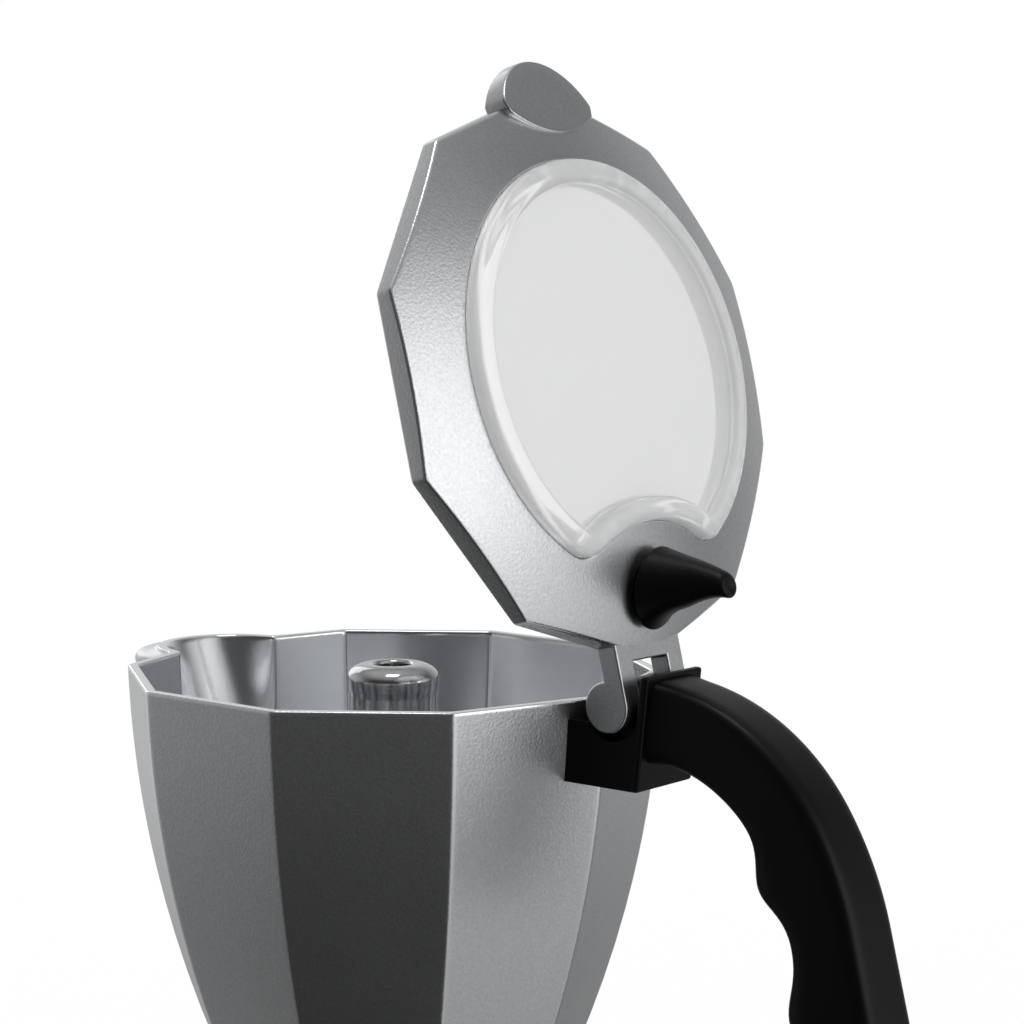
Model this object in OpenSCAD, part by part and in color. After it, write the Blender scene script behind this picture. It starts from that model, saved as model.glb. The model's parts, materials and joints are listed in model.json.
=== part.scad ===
// Electric moka pot: a ten-sided collector with a domed lid, screwed on a boiler that stands on a cordless power base.
// Millimetres, +Z up. The origin lies on the pot's axis, on the surface that the power base stands on.
// The handle points along +X and the spout along -X. The lid is drawn open.

/* [Collector] */
// Radius of the rim at its corners
rim_r = 52; // [50:0.5:54]
// Height of the collector from its skirt to its rim
collector_h = 74; // [72:0.5:80]
// Wall of the collector
collector_wall = 2; // [1.6:0.1:2.4]
// Radius of the upright bow of each facet
facet_bow_r = 219; // [210:1:230]
// Height above the rim at which the facets would stand upright
facet_upright_z = 6; // [4:0.5:8]
// Thickness of the collector's floor
floor_t = 6; // [5.5:0.1:7]

/* [Spout] */
// Radius of the spout's channel
spout_r = 12.6; // [11.5:0.1:13.5]
// Reach of the spout's crest past the rim's corner
spout_reach = 6.2; // [5.6:0.1:6.8]
// Lean of the channel, in degrees
spout_tilt = 20.5; // [19:0.5:22]
// Wall of the spout
spout_wall = 2; // [1.6:0.1:2.4]
// Reach of the rolled lip past the rim's corner
lip_reach = 13.9; // [13:0.1:14.5]
// Radius of the rolled lip in plan
lip_r = 16.1; // [15.5:0.1:16.6]
// Thickness of the rolled lip
lip_t = 3.4; // [3:0.1:3.8]
// Drop of the lip from its crest to its nose
lip_drop = 1.2; // [0.8:0.1:1.6]

/* [Column] */
// Radius of the column
column_r = 8.6; // [8:0.1:9.2]
// Overhang of the column's rounded cap
cap_overhang = 0.4; // [0.2:0.1:0.6]
// Height of the rounded cap
cap_h = 5; // [4:0.2:6]
// Height of the column's top above the rim
column_above_rim = 0.8; // [0:0.1:1.2]
// Radius of the column's bore
column_bore_r = 3.5; // [3:0.1:4]
// Radius of the spigot that holds the column in the floor
spigot_r = 6.4; // [6:0.1:7]

/* [Lid] */
// Angle at which the lid stands open, in degrees
lid_open = 76; // [60:1:100]
// Height of the lid's corners above its underside
lid_edge_t = 3.2; // [2.8:0.1:3.6]
// Gap between the closed lid and the rim
lid_gap = 0.5; // [0.4:0.1:0.8]
// Rise of the lid's dome above its corners
dome_h = 9.5; // [9:0.1:10]
// Wall of the dome
dome_wall = 2.6; // [2.4:0.1:2.8]
// Width of the flat border under the lid's edge
lid_border = 5; // [4:0.5:6]
// Reach of the spout tab past the lid's corner
tab_reach = 5.6; // [5:0.1:6.2]
// Half width of the spout tab
tab_half_w = 12.8; // [12:0.2:13.6]
// Run of the tab from its widest line out to its tip
tab_run_out = 9.7; // [9:0.1:10.4]
// Run of the tab from its widest line in over the dome
tab_run_in = 4.4; // [4:0.2:5]
// Thickness of the tab at its tip
tab_tip_t = 3.4; // [3:0.1:3.8]
// Slope of the tab's top face, in degrees
tab_slope = 13.5; // [12:0.5:15]

/* [Window] */
// Radius of the window
window_r = 38; // [37:0.2:38.6]
// Radius of the scallop before the knob
scallop_r = 30; // [27:0.5:33]
// Distance of the scallop's edge from the lid's centre
scallop_x = 28.2; // [27.5:0.1:29]
// Radius of the two lobes beside the scallop
lobe_r = 5; // [4.6:0.1:5.6]
// Height of the window's bead above the dome
bead_h = 2.2; // [1.6:0.1:2.6]
// Width of the bead
bead_w = 4.2; // [4:0.1:4.5]
// Height of the window's pane above the dome at its edge
pane_h = 0.7; // [0.4:0.1:1]
// Thickness of the pane
pane_t = 2.4; // [2:0.1:2.8]
// Width of the ledge that the window sits on
ledge_w = 3; // [2.6:0.1:3.4]
// Thickness of the ledge
ledge_t = 2; // [1.6:0.1:2.4]
// Depth of the window's skirt through the ledge
skirt_h = 2.6; // [2.2:0.1:3]
// Wall of the window's skirt
skirt_t = 1.2; // [1:0.1:1.4]

/* [Knob] */
// Distance of the knob from the lid's centre
knob_x = 39.9; // [39:0.1:40.5]
// Radius of the knob at its foot
knob_r = 6.9; // [6.6:0.1:7.2]
// Radius of the neck under the knob's foot
knob_neck_r = 5.4; // [5:0.1:5.8]
// Height of the knob's foot above the dome
knob_lift = 1.6; // [1.2:0.1:2]
// Slope of the knob's foot, in degrees
knob_slope = 18; // [16:0.5:20]
// Radius of the knob at its tip
knob_tip_r = 2.3; // [2:0.1:2.6]
// Height of the knob
knob_h = 15.4; // [14.5:0.1:16.5]
// Lean of the knob's tip towards the hinge
knob_lean = 2.4; // [1.5:0.1:3]
// Depth of the knob's screw hole above its foot
knob_hole_h = 8; // [7:0.5:9]

/* [Hinge] */
// Distance of the hinge axis past the rim's corner
hinge_reach = 7.2; // [7:0.1:7.6]
// Radius of the lid's knuckles
knuckle_r = 4.6; // [4.4:0.1:4.8]
// Thickness of each hinge ear
ear_t = 4.5; // [4:0.1:5]
// Gap between the two ears
ear_gap = 10; // [9.5:0.1:11]
// Radius of the hinge pin
pin_r = 1.5; // [1.25:0.05:1.75]
// Wall that closes the blind ear
blind_wall = 1.2; // [1:0.1:1.6]

/* [Handle] */
// Depth of the hinge block below the rim
block_h = 14.8; // [14.4:0.2:16]
// Half width of the hinge block
block_half_w = 7.8; // [7.4:0.1:8.2]
// Half width of the flange
flange_half_w = 8.3; // [8:0.1:8.8]
// Height of the block's shoulder below the rim
shoulder_drop = 3.4; // [3:0.1:3.8]
// Radius of the pocket round each knuckle
pocket_r = 6.3; // [6.1:0.1:6.4]
// Distance of the flange's face from the hinge axis
flange_x = 6.5; // [6.4:0.1:6.8]
// Thickness of the flange
flange_t = 1.8; // [1.6:0.1:2.2]
// Height of the flange above the rim
flange_h = 6; // [5.4:0.1:6.2]
// Lean of the flange over its height
flange_lean = 2.3; // [2:0.1:2.6]
// Drop of the grip's root below the rim
grip_drop = 1.7; // [1.4:0.1:2]
// Slope of the grip's root, in degrees
root_slope = 10; // [8:0.5:12]
// Length of the grip's straight root
root_l = 6.5; // [6:0.1:7]
// Radius of the grip's first bend along its middle
bend_r = 36; // [34:0.5:38]
// Turn of the grip's first bend, in degrees
bend_turn = 46.5; // [45:0.5:48]
// Radius of the grip's second bend along its middle
sweep_r = 56; // [52:1:60]
// Turn of the grip's second bend, in degrees
sweep_turn = 19.5; // [18:0.5:21]
// Depth of the grip from its back to its finger side at the flange
grip_depth = 14.5; // [14:0.1:15]
// Depth of the grip at its end
grip_end_depth = 13.5; // [13:0.1:14]
// Width of the grip at the flange
grip_w = 12.8; // [12:0.2:14]
// Width of the grip at its end
grip_end_w = 14.6; // [13:0.2:16]
// Length of the grip's straight part
grip_straight = 38; // [34:1:42]
// Height of each finger ridge
ridge_h = 3.8; // [3:0.2:4.6]
// Half length of each finger ridge
ridge_run = 6.8; // [6:0.2:8]
// Distance between finger ridges along the grip
ridge_pitch = 25; // [24:1:28]
// Distance of the first finger ridge along the grip
ridge_first = 42.6; // [41:0.2:44]
// Width of the collector's lug inside the block
lug_w = 7; // [6.5:0.1:8]
// Height of the lug
lug_h = 6.5; // [6:0.1:7]
// Reach of the lug past the rim's corner
lug_reach = 9; // [8:0.2:10]
// Depth of the lug's underside below the rim
lug_drop = 11.6; // [11:0.1:12]

/* [Boiler] */
// Height of the boiler from its foot to its shoulder
boiler_h = 67; // [64:0.5:72]
// Distance across the flats of the boiler's foot, halved
boiler_flat_r = 49; // [48:0.2:49.5]
// Radius of the upright bow of the boiler's facets
boiler_bow_r = 156; // [150:1:165]
// Height above the foot at which the boiler's facets stand upright
boiler_upright_z = 4; // [2:0.5:6]
// Wall of the boiler
boiler_wall = 3; // [2.6:0.1:3.4]
// Thickness of the boiler's floor
boiler_floor_t = 5; // [4.6:0.1:6]
// Radius of the threaded neck
neck_r = 31; // [30.6:0.1:31.4]
// Height of the neck
neck_h = 13.5; // [12.5:0.5:15]
// Radius of the neck's bore
neck_bore_r = 28.4; // [28.2:0.1:28.8]
// Depth of the thread
thread_depth = 0.8; // [0.6:0.1:1]
// Pitch of the thread
thread_pitch = 4; // [3:0.5:4]

/* [Funnel and seal] */
// Radius of the funnel's rim
funnel_rim_r = 30.4; // [30:0.1:30.5]
// Thickness of the funnel's rim
funnel_rim_t = 1.2; // [1:0.1:1.5]
// Radius of the funnel's cup
funnel_r = 27.6; // [27:0.1:27.8]
// Wall of the funnel
funnel_wall = 1; // [0.8:0.1:1.2]
// Depth of the funnel's cup
funnel_cup_h = 24; // [20:0.5:26]
// Height of the funnel's cone
funnel_cone_h = 7; // [6:0.5:9]
// Radius of the funnel's stem
stem_r = 4.6; // [4.2:0.1:5]
// Gap between the stem and the boiler's floor
stem_gap = 4; // [3:0.5:6]
// Thickness of the gasket
gasket_t = 3.2; // [2.8:0.1:3.6]
// Inner radius of the gasket
gasket_bore_r = 24.6; // [24:0.1:25]
// Radius of the filter plate
filter_r = 27; // [26.5:0.1:27.4]
// Thickness of the filter plate
filter_t = 0.8; // [0.6:0.1:1]
// Radius of the sieve holes
sieve_hole_r = 0.7; // [0.5:0.05:0.8]
// Spacing of the sieve holes
sieve_pitch = 5; // [4.4:0.2:7]

/* [Valve] */
// Direction of the safety valve about the axis, in degrees
valve_angle = 234; // [234]
// Height of the valve above the boiler's foot
valve_z = 32; // [28:0.5:36]
// Radius of the valve's shank
valve_shank_r = 5; // [4.8:0.1:5.4]
// Radius of the valve's hexagon at its corners
valve_hex_r = 7.5; // [7:0.1:8]
// Thickness of the hexagon
valve_hex_t = 4; // [3.5:0.1:5]
// Radius of the valve's bore
valve_bore_r = 3.2; // [3:0.1:3.4]
// Height of the flat boss that the valve screws into
valve_boss_h = 1.8; // [1.6:0.1:2.4]
// Length of the valve outside the hexagon
valve_nose = 6; // [5:0.5:8]
// Radius of the valve's stem
valve_stem_r = 1.2; // [1:0.1:1.4]
// Travel of the valve's pin
valve_travel = 1.5; // [1:0.1:2]

/* [Housing] */
// Height of the housing
housing_h = 38; // [37:0.5:42]
// Radius of the housing at its top
housing_top_r = 54; // [53.5:0.1:54.6]
// Radius of the housing at its foot
housing_foot_r = 55.4; // [55:0.1:56]
// Wall of the housing
housing_wall = 2.6; // [2.4:0.1:2.8]
// Thickness of the housing's top flange
flange_ring_t = 2.8; // [2.4:0.1:3.2]
// Radius of the opening in the top flange
flange_ring_r = 38; // [37.5:0.1:38.5]
// Height of the bottom cover above the housing's foot
cover_rise = 2.4; // [2:0.1:3]
// Thickness of the bottom cover
cover_t = 2.6; // [2.4:0.1:3]
// Radius of the screw bosses
boss_r = 3.8; // [3.6:0.1:4.2]
// Gap between the screw bosses and the wall
boss_gap = 4; // [3.5:0.1:4.5]
// Radius of the rounded edges of the housing and of the power base
edge_round = 1.6; // [1:0.1:2]

/* [Heater] */
// Radius of the heater plate
heater_r = 36; // [35:0.2:36.8]
// Thickness of the heater plate
heater_t = 5; // [4:0.2:6]
// Radius of the heating tube
tube_r = 3.2; // [3:0.1:3.4]
// Radius of the heating tube's ring
tube_ring_r = 27; // [26:0.2:28]
// Sweep of the heating tube, in degrees
tube_sweep = 300; // [280:5:310]
// Drop of the heating tube's cold ends
tube_drop = 6; // [5:0.5:7]
// Length of the heating tube's terminal pins
tube_pin = 5; // [4:0.5:5]
// Radius of the thermostat
thermostat_r = 8; // [7.5:0.1:8.5]
// Height of the thermostat, as a share of the room below the heater
thermostat_share = 0.4; // [0.36:0.01:0.42]
// Distance of the thermal fuse from the axis
fuse_x = 17; // [16.5:0.1:17.5]
// Radius of the thermal fuse
fuse_r = 2; // [1.8:0.1:2.2]
// Length of the thermal fuse
fuse_l = 12; // [10:0.5:13]

/* [Switch] */
// Height of the switch's frame
switch_h = 21; // [20.5:0.1:21.5]
// Width of the switch's frame
switch_w = 15; // [14.5:0.1:15.5]
// Thickness of the switch's frame
switch_frame_t = 1.6; // [1.4:0.1:2]
// Overlap of the frame past its hole
switch_overlap = 1.1; // [1:0.05:1.2]
// Depth of the switch behind its frame
switch_depth = 16; // [15:0.5:18]
// Wall of the switch
switch_wall = 0.9; // [0.8:0.05:1]
// Depth of the rocker's axle behind the housing's flat
rocker_axle_depth = 2.2; // [2:0.1:2.6]
// Tilt of the rocker to each side, in degrees
rocker_tilt = 8; // [6:0.5:9]
// Radius of the rocker's axle
rocker_axle_r = 1.2; // [1:0.05:1.3]
// Direction of the indicator lamp about the axis, in degrees
lamp_angle = 26; // [24:1:28]
// Radius of the lamp's lens
lamp_r = 3; // [2.6:0.1:3.2]

/* [Power base] */
// Height of the power base
base_h = 20; // [19.5:0.5:24]
// Radius of the power base at its foot
base_r = 59; // [58.6:0.1:61]
// Radius of the power base at its deck
base_deck_r = 57; // [56.6:0.1:58]
// Wall of the power base
base_wall = 2.5; // [2.2:0.1:2.8]
// Thickness of the deck
deck_t = 3; // [2.6:0.1:3.4]
// Thickness of the bottom plate
plate_t = 2.6; // [2.4:0.1:3]
// Thickness of the rubber pad
pad_t = 2; // [1.6:0.1:2.4]
// Gap between the power base's screw bosses and its wall
base_boss_gap = 7.7; // [7:0.1:8.4]
// Width of the shell's edge round the pad
pad_inset = 6; // [5:0.5:7]
// Radius of the connector post
post_r = 15.4; // [15:0.1:15.6]
// Height of the connector post above the deck
post_h = 11.5; // [10.5:0.1:12]
// Radius of the connector's ring contact
contact_ring_r = 10.5; // [10.3:0.1:10.7]
// Radius of the connector's centre contact
contact_pin_r = 4; // [3.8:0.1:4.2]
// Radius of the cord hole in the gland
gland_bore_r = 3.2; // [2.8:0.1:3.4]
// Width of the gland's flange
gland_flange_w = 1.4; // [1.2:0.1:1.6]
// Width of the terminal tabs
terminal_w = 4.8; // [4.4:0.1:5.2]
// Thickness of the terminal tabs
terminal_t = 0.8; // [0.7:0.05:0.9]
// Distance between the connector's terminal tabs
terminal_pitch = 7; // [6.6:0.1:7.4]

/* [Fasteners and clearances] */
// Radius of the screw shanks
screw_r = 2; // [1.8:0.1:2.1]
// Radius of the screw heads
screw_head_r = 3.4; // [3.2:0.1:3.6]
// Height of the screw heads
screw_head_h = 1.5; // [1.2:0.1:1.8]
// Length of the cover's screws
cover_screw_l = 12; // [10:0.5:13]
// Length of the power base's screws
base_screw_l = 8; // [7:0.5:9]
// Gap round pieces that move past each other
run_gap = 0.3; // [0.2:0.05:0.4]
// Gap round fixed pieces
fit_gap = 0.05; // [0.02:0.01:0.1]
// Radial gap of a turning shaft
shaft_gap = 0.05; // [0.02:0.01:0.1]

/* [Hidden] */
SIDES = 10;
TURN = 360 / SIDES;
// Ratio of the flat's distance to the corner's distance
FLAT = cos(TURN / 2);
$fn = 96;
FINE = 1440;
ROUND = 240;
FAR = 400;

// Heights of the stack, from the surface up
housing_z = base_h + fit_gap;
boiler_z = housing_z + housing_h;
shoulder_z = boiler_z + boiler_h;
skirt_z = shoulder_z + 0.5;
rim_z = skirt_z + collector_h;
neck_top_z = shoulder_z + neck_h;
gasket_z = neck_top_z + funnel_rim_t + fit_gap;
seat_z = gasket_z + gasket_t + fit_gap;
floor_z = seat_z + floor_t;
cover_z = housing_z + cover_rise;
cover_top_z = cover_z + cover_t;

// Centre of each facet's bow, measured from the axis, and the same for the boiler
rim_flat_r = rim_r * FLAT;
bow_x = rim_flat_r - sqrt(pow(facet_bow_r, 2) - pow(facet_upright_z, 2));
boiler_bow_x = boiler_flat_r - sqrt(pow(boiler_bow_r, 2) - pow(boiler_upright_z, 2));
skirt_bore_r = neck_r + run_gap;

// Places on the closed lid, from the rim's plane up
lid_under = lid_gap;
lid_edge_top = lid_gap + lid_edge_t;
dome_r = (pow(rim_r, 2) + pow(dome_h, 2)) / (2 * dome_h);
dome_z = lid_edge_top + dome_h - dome_r;
function dome_at(r) = dome_z + sqrt(pow(dome_r, 2) - r * r);
window_edge_z = dome_at(window_r);
pane_top_z = window_edge_z + pane_h;
window_seat_z = pane_top_z - pane_t;
knob_foot_z = dome_at(knob_x) + knob_lift;
hinge_x = rim_r + hinge_reach;
ear_out = ear_gap / 2 + ear_t;

// Places on the grip, from the hinge axis
flange_face_x = hinge_x + flange_x;
bend_l = bend_r * bend_turn * PI / 180;
sweep_l = sweep_r * sweep_turn * PI / 180;
ridges = [ridge_first, ridge_first + ridge_pitch];
grip_l = root_l + bend_l + sweep_l + grip_straight;

// Places in the base
switch_z = housing_z + housing_h / 2;
switch_face_x = housing_r_at(switch_z) - 1.4;
heater_z = boiler_z - heater_t;
tube_z = heater_z - tube_r - run_gap - fit_gap;
boss_x = housing_foot_r - housing_wall - boss_r - boss_gap;
flange_screw_x = flange_ring_r + screw_head_r + 2 * run_gap;
base_boss_x = base_r - base_wall - boss_r - base_boss_gap;
post_top_z = base_h + post_h;
socket_r = post_r + run_gap + 0.1;
socket_wall = 2.4;
socket_out_r = socket_r + socket_wall;
socket_roof_z = post_top_z + 1.5;
socket_top_z = socket_roof_z + socket_wall;

// The room between connector and heater, shared by the thermostat, the terminals and the leads
room = heater_z - socket_top_z;
thermostat_h = thermostat_share * room;
thermostat_tab = room * 0.34;
connector_tab = room * 0.31;
valve_seat_r = boiler_flat_at(boiler_z + valve_z);
valve_x = -valve_seat_r;

function housing_r_at(z) =
    housing_foot_r + (housing_top_r - housing_foot_r) * (z - housing_z) / housing_h;
function boiler_flat_at(z) =
    boiler_bow_x + sqrt(pow(boiler_bow_r, 2) - pow(z - boiler_z - boiler_upright_z, 2));
function power(v, e) = sign(v) * pow(abs(v), e);
function sum_of(v) = v * [for (x = v) 1];

// Shared shapes

// A ten-sided solid whose facets follow a mirrored upright profile
module ten_sided() {
    intersection_for (k = [0 : SIDES / 2 - 1])
        rotate([0, 0, TURN * (k + 0.5)])
            rotate([90, 0, 0])
                linear_extrude(FAR, center = true)
                    children();
}

// Upright profile between two heights, bounded on both sides by bows of one radius
module bowed_profile(centre_x, centre_z, radius, low, high) {
    intersection() {
        translate([centre_x, centre_z])
            circle(radius, $fn = FINE);
        translate([-centre_x, centre_z])
            circle(radius, $fn = FINE);
        translate([-FAR / 2, low])
            square([FAR, high - low]);
    }
}

module ring(outer_r, inner_r, low, high) {
    difference() {
        translate([0, 0, low])
            cylinder(high - low, outer_r, outer_r);
        translate([0, 0, low - 1])
            cylinder(high - low + 2, inner_r, inner_r);
    }
}

module around(count, start = 0) {
    for (k = [0 : count - 1])
        rotate([0, 0, start + 360 * k / count])
            children();
}

// A pan-head screw that points up from the underside of its head
module screw_up(length, shank = screw_r, head = screw_head_r, head_h = screw_head_h) {
    translate([0, 0, -head_h])
        cylinder(head_h, head, head);
    cylinder(length, shank, shank);
}

// Rows of sieve holes through a plate
module sieve(limit_r, low, high) {
    for (row = [1 : floor(limit_r / sieve_pitch)])
        around(6 * row, 90 / row)
            translate([row * sieve_pitch, 0, low])
                cylinder(high - low, sieve_hole_r, sieve_hole_r, $fn = 16);
}

// Triangles that join rings of points into one closed tube
function tube_faces(rings, sides) = concat(
    [for (i = [0 : rings - 2], j = [0 : sides - 1])
        [i * sides + j, i * sides + (j + 1) % sides, (i + 1) * sides + j]],
    [for (i = [0 : rings - 2], j = [0 : sides - 1])
        [i * sides + (j + 1) % sides, (i + 1) * sides + (j + 1) % sides, (i + 1) * sides + j]],
    [for (j = [1 : sides - 2]) [0, j + 1, j]],
    [for (j = [1 : sides - 2]) let (e = (rings - 1) * sides) [e, e + j, e + j + 1]]
);

function unit(v) = v / norm(v);
function along(path, i) =
    unit(path[min(i + 1, len(path) - 1)] - path[max(i - 1, 0)]);
// A direction square to the path that stays close to a fixed reference
function across(path, i, reference) =
    unit(reference - (reference * along(path, i)) * along(path, i));

// A tube of one radius swept along a path, closed at both ends
module swept(path, radius, reference, sides = 8) {
    rings = [for (i = [0 : len(path) - 1], j = [0 : sides - 1])
        let (a = across(path, i, reference), b = cross(along(path, i), a), t = 360 * j / sides)
            path[i] + radius * (cos(t) * a + sin(t) * b)];
    polyhedron(rings, [for (f = tube_faces(len(path), sides)) [f[0], f[2], f[1]]]);
}

// Collector

module collector_profile(inset, low, high) {
    bowed_profile(bow_x, rim_z + facet_upright_z, facet_bow_r - inset, low, high);
}

// The spout's leaning channel, as a cylinder through the rim's plane
module channel(radius, top) {
    axis_x = rim_r + spout_reach - spout_r / cos(spout_tilt);
    translate([-axis_x, 0, rim_z])
        rotate([0, -spout_tilt, 0])
            translate([0, 0, -60])
                cylinder(60 + top, radius, radius, $fn = ROUND);
}

module rolled_lip() {
    nose = lip_r - lip_t / 2;
    translate([-(rim_r + lip_reach - lip_r), 0, rim_z])
        rotate_extrude($fn = ROUND) {
            polygon([
                [0, 0], [lip_r / 2, 0], [nose, -lip_drop],
                [nose, -lip_drop - lip_t], [lip_r / 4, -lip_r], [0, -lip_r]
            ]);
            translate([nose, -lip_drop - lip_t / 2])
                intersection() {
                    circle(lip_t / 2);
                    translate([0, -lip_t])
                        square(2 * lip_t);
                }
        }
}

module spout_side(low) {
    intersection() {
        children();
        translate([-FAR / 2 - rim_r / 2, -FAR / 2, low])
            cube([FAR / 2, FAR, rim_z - low]);
    }
}

module lug(gap) {
    translate([rim_flat_r - collector_wall, -lug_w / 2 - gap, rim_z - lug_drop - gap])
        cube([rim_r + lug_reach - rim_flat_r + collector_wall + gap, lug_w + 2 * gap, lug_h + 2 * gap]);
}

handle_screw_x = rim_r + lug_reach / 2;

module collector() {
    scoop_low = rim_z - 40;
    color("gainsboro")
        difference() {
            union() {
                ten_sided()
                    collector_profile(0, skirt_z, rim_z);
                spout_side(scoop_low)
                    channel(spout_r + spout_wall, 10);
                spout_side(rim_z - lip_r)
                    rolled_lip();
                lug(0);
            }
            ten_sided()
                collector_profile(collector_wall, floor_z, rim_z + 5);
            spout_side(scoop_low)
                channel(spout_r, 10);
            translate([-rim_r - spout_reach - 10, -30, rim_z])
                cube([60, 60, 20]);
            translate([0, 0, skirt_z - 1])
                cylinder(seat_z - skirt_z + 1, skirt_bore_r, skirt_bore_r);
            translate([0, 0, seat_z - 1])
                cylinder(1 + filter_t + run_gap, filter_r + run_gap, filter_r + run_gap);
            translate([0, 0, seat_z + filter_t])
                cylinder(1.5, gasket_bore_r, spigot_r);
            translate([0, 0, seat_z])
                cylinder(floor_t + 1, spigot_r + fit_gap, spigot_r + fit_gap);
            translate([handle_screw_x, 0, rim_z - lug_drop - 1])
                cylinder(lug_h, screw_r + fit_gap, screw_r + fit_gap);
        }
}

module coffee_column() {
    top = rim_z + column_above_rim;
    cap_r = column_r + cap_overhang;
    spigot_l = floor_t - filter_t - 2.5;
    color("silver")
        difference() {
            rotate_extrude($fn = ROUND) {
                translate([0, floor_z - spigot_l])
                    square([spigot_r, spigot_l + 1]);
                translate([0, floor_z])
                    square([column_r, top - cap_h - floor_z + 0.5]);
                translate([0, top - cap_h])
                    square([cap_r - cap_h / 2, cap_h]);
                translate([cap_r - cap_h / 2, top - cap_h / 2])
                    circle(cap_h / 2);
            }
            translate([0, 0, floor_z - floor_t])
                cylinder(FAR, column_bore_r, column_bore_r);
            translate([0, 0, top - 0.6])
                cylinder(0.7, column_bore_r, column_bore_r + 0.7);
        }
}

module gasket() {
    color("ivory")
        ring(skirt_bore_r - run_gap, gasket_bore_r, gasket_z, gasket_z + gasket_t);
}

module filter_plate() {
    low = gasket_z + gasket_t;
    color("silver")
        difference() {
            translate([0, 0, low])
                cylinder(filter_t, filter_r, filter_r);
            sieve(gasket_bore_r - 2, low - 1, low + filter_t + 1);
        }
}

// Lid, drawn closed over the rim's plane and then opened about the hinge

module opened() {
    translate([hinge_x, 0, rim_z])
        rotate([0, lid_open, 0])
            translate([-hinge_x, 0, 0])
                children();
}

module lid_outline() {
    circle(rim_r, $fn = SIDES);
}

// The dome's cap, grown by a given amount and cut off below
module dome(grow, low) {
    translate([0, 0, dome_z])
        rotate_extrude($fn = ROUND)
            intersection() {
                circle(dome_r + grow, $fn = FINE);
                translate([0, low - dome_z])
                    square([rim_r + 2 * tab_reach, dome_r]);
            }
}

// Outline of the window, drawn in by an inset, with rounded lobes beside the scallop
module window_outline(inset) {
    r = window_r - inset;
    s = scallop_r + inset;
    l = lobe_r - inset;
    near = window_r - lobe_r;
    far = scallop_x + scallop_r;
    cx = (near * near + far * far - pow(scallop_r + lobe_r, 2)) / (2 * far);
    cy = sqrt(near * near - cx * cx);
    centre = [far, 0];
    from = atan2(cy, cx);
    to = atan2(-cy, far - cx);
    meet = atan2(cy, cx - far) - 1.5;
    bends = [for (k = [1 : 5])
        let (a = from + (to - from) * k / 6)
            [cx, cy] + l * [cos(a), sin(a)]];
    start = r * [cos(from + 2), sin(from + 2)];
    end = centre + s * [cos(meet), sin(meet)];
    half = concat([[2 * r, 2 * r], 4 * start - 3 * bends[0]], bends, [2 * end - bends[4]]);
    difference() {
        circle(r, $fn = ROUND);
        translate(centre)
            circle(s, $fn = ROUND);
        polygon(concat(half, [centre], [for (k = [len(half) - 1 : -1 : 0]) [half[k].x, -half[k].y]]));
    }
}

module window_prism(inset, low, high) {
    translate([0, 0, low])
        linear_extrude(high - low)
            window_outline(inset);
}

module tab() {
    tip = rim_r + tab_reach;
    out_r = (pow(tab_half_w, 2) + pow(tab_run_out, 2)) / (2 * tab_run_out);
    in_r = (pow(tab_half_w, 2) + pow(tab_run_in, 2)) / (2 * tab_run_in);
    widest = tip - tab_run_out;
    difference() {
        translate([0, 0, lid_under])
            linear_extrude(2 * dome_h)
                intersection() {
                    translate([-(tip - out_r), 0])
                        circle(out_r, $fn = ROUND);
                    translate([-(widest - tab_run_in + in_r), 0])
                        circle(in_r, $fn = ROUND);
                }
        translate([-tip, 0, lid_under + tab_tip_t])
            rotate([0, -tab_slope, 0])
                translate([-FAR / 2, -FAR / 2, 0])
                    cube([FAR, FAR, FAR]);
    }
}

module ears() {
    strap_x = rim_flat_r - lid_border;
    translate([strap_x, -ear_out, lid_under])
        cube([rim_r - strap_x, 2 * ear_out, knuckle_r - lid_under]);
    for (side = [-1, 1])
        translate([0, side * (ear_gap + ear_t) / 2, 0]) {
            translate([strap_x, -ear_t / 2, lid_under])
                cube([hinge_x - strap_x, ear_t, knuckle_r - lid_under]);
            translate([hinge_x, 0, 0])
                rotate([90, 0, 0])
                    cylinder(ear_t, knuckle_r, knuckle_r, center = true);
        }
}

module hinge_bore(radius) {
    translate([hinge_x, -ear_out + blind_wall, 0])
        rotate([-90, 0, 0])
            cylinder(2 * ear_out, radius, radius);
}

knob_boss_r = screw_head_r + 1;
knob_boss_z = lid_under + screw_head_h + 0.5;

module lid_frame() {
    color("gainsboro")
        opened()
            difference() {
                union() {
                    difference() {
                        intersection() {
                            translate([0, 0, lid_under])
                                linear_extrude(2 * dome_h)
                                    lid_outline();
                            dome(0, lid_under - 1);
                        }
                        intersection() {
                            dome(-dome_wall, lid_under - 1);
                            translate([0, 0, lid_under - 1])
                                cylinder(2 * dome_h, rim_flat_r - lid_border, rim_flat_r - lid_border);
                        }
                        window_prism(-fit_gap, window_seat_z, 4 * dome_h);
                    }
                    intersection() {
                        window_prism(-1.5, window_seat_z - ledge_t, window_seat_z);
                        dome(-dome_wall / 2, lid_under);
                    }
                    intersection() {
                        translate([knob_x, 0, knob_boss_z])
                            cylinder(dome_h, knob_boss_r, knob_boss_r);
                        dome(-dome_wall / 2, lid_under);
                    }
                    tab();
                    ears();
                }
                window_prism(ledge_w, lid_under - 1, 4 * dome_h);
                hinge_bore(pin_r + shaft_gap);
                translate([knob_x, 0, lid_under])
                    cylinder(2 * dome_h, screw_r + fit_gap, screw_r + fit_gap);
            }
}

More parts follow.
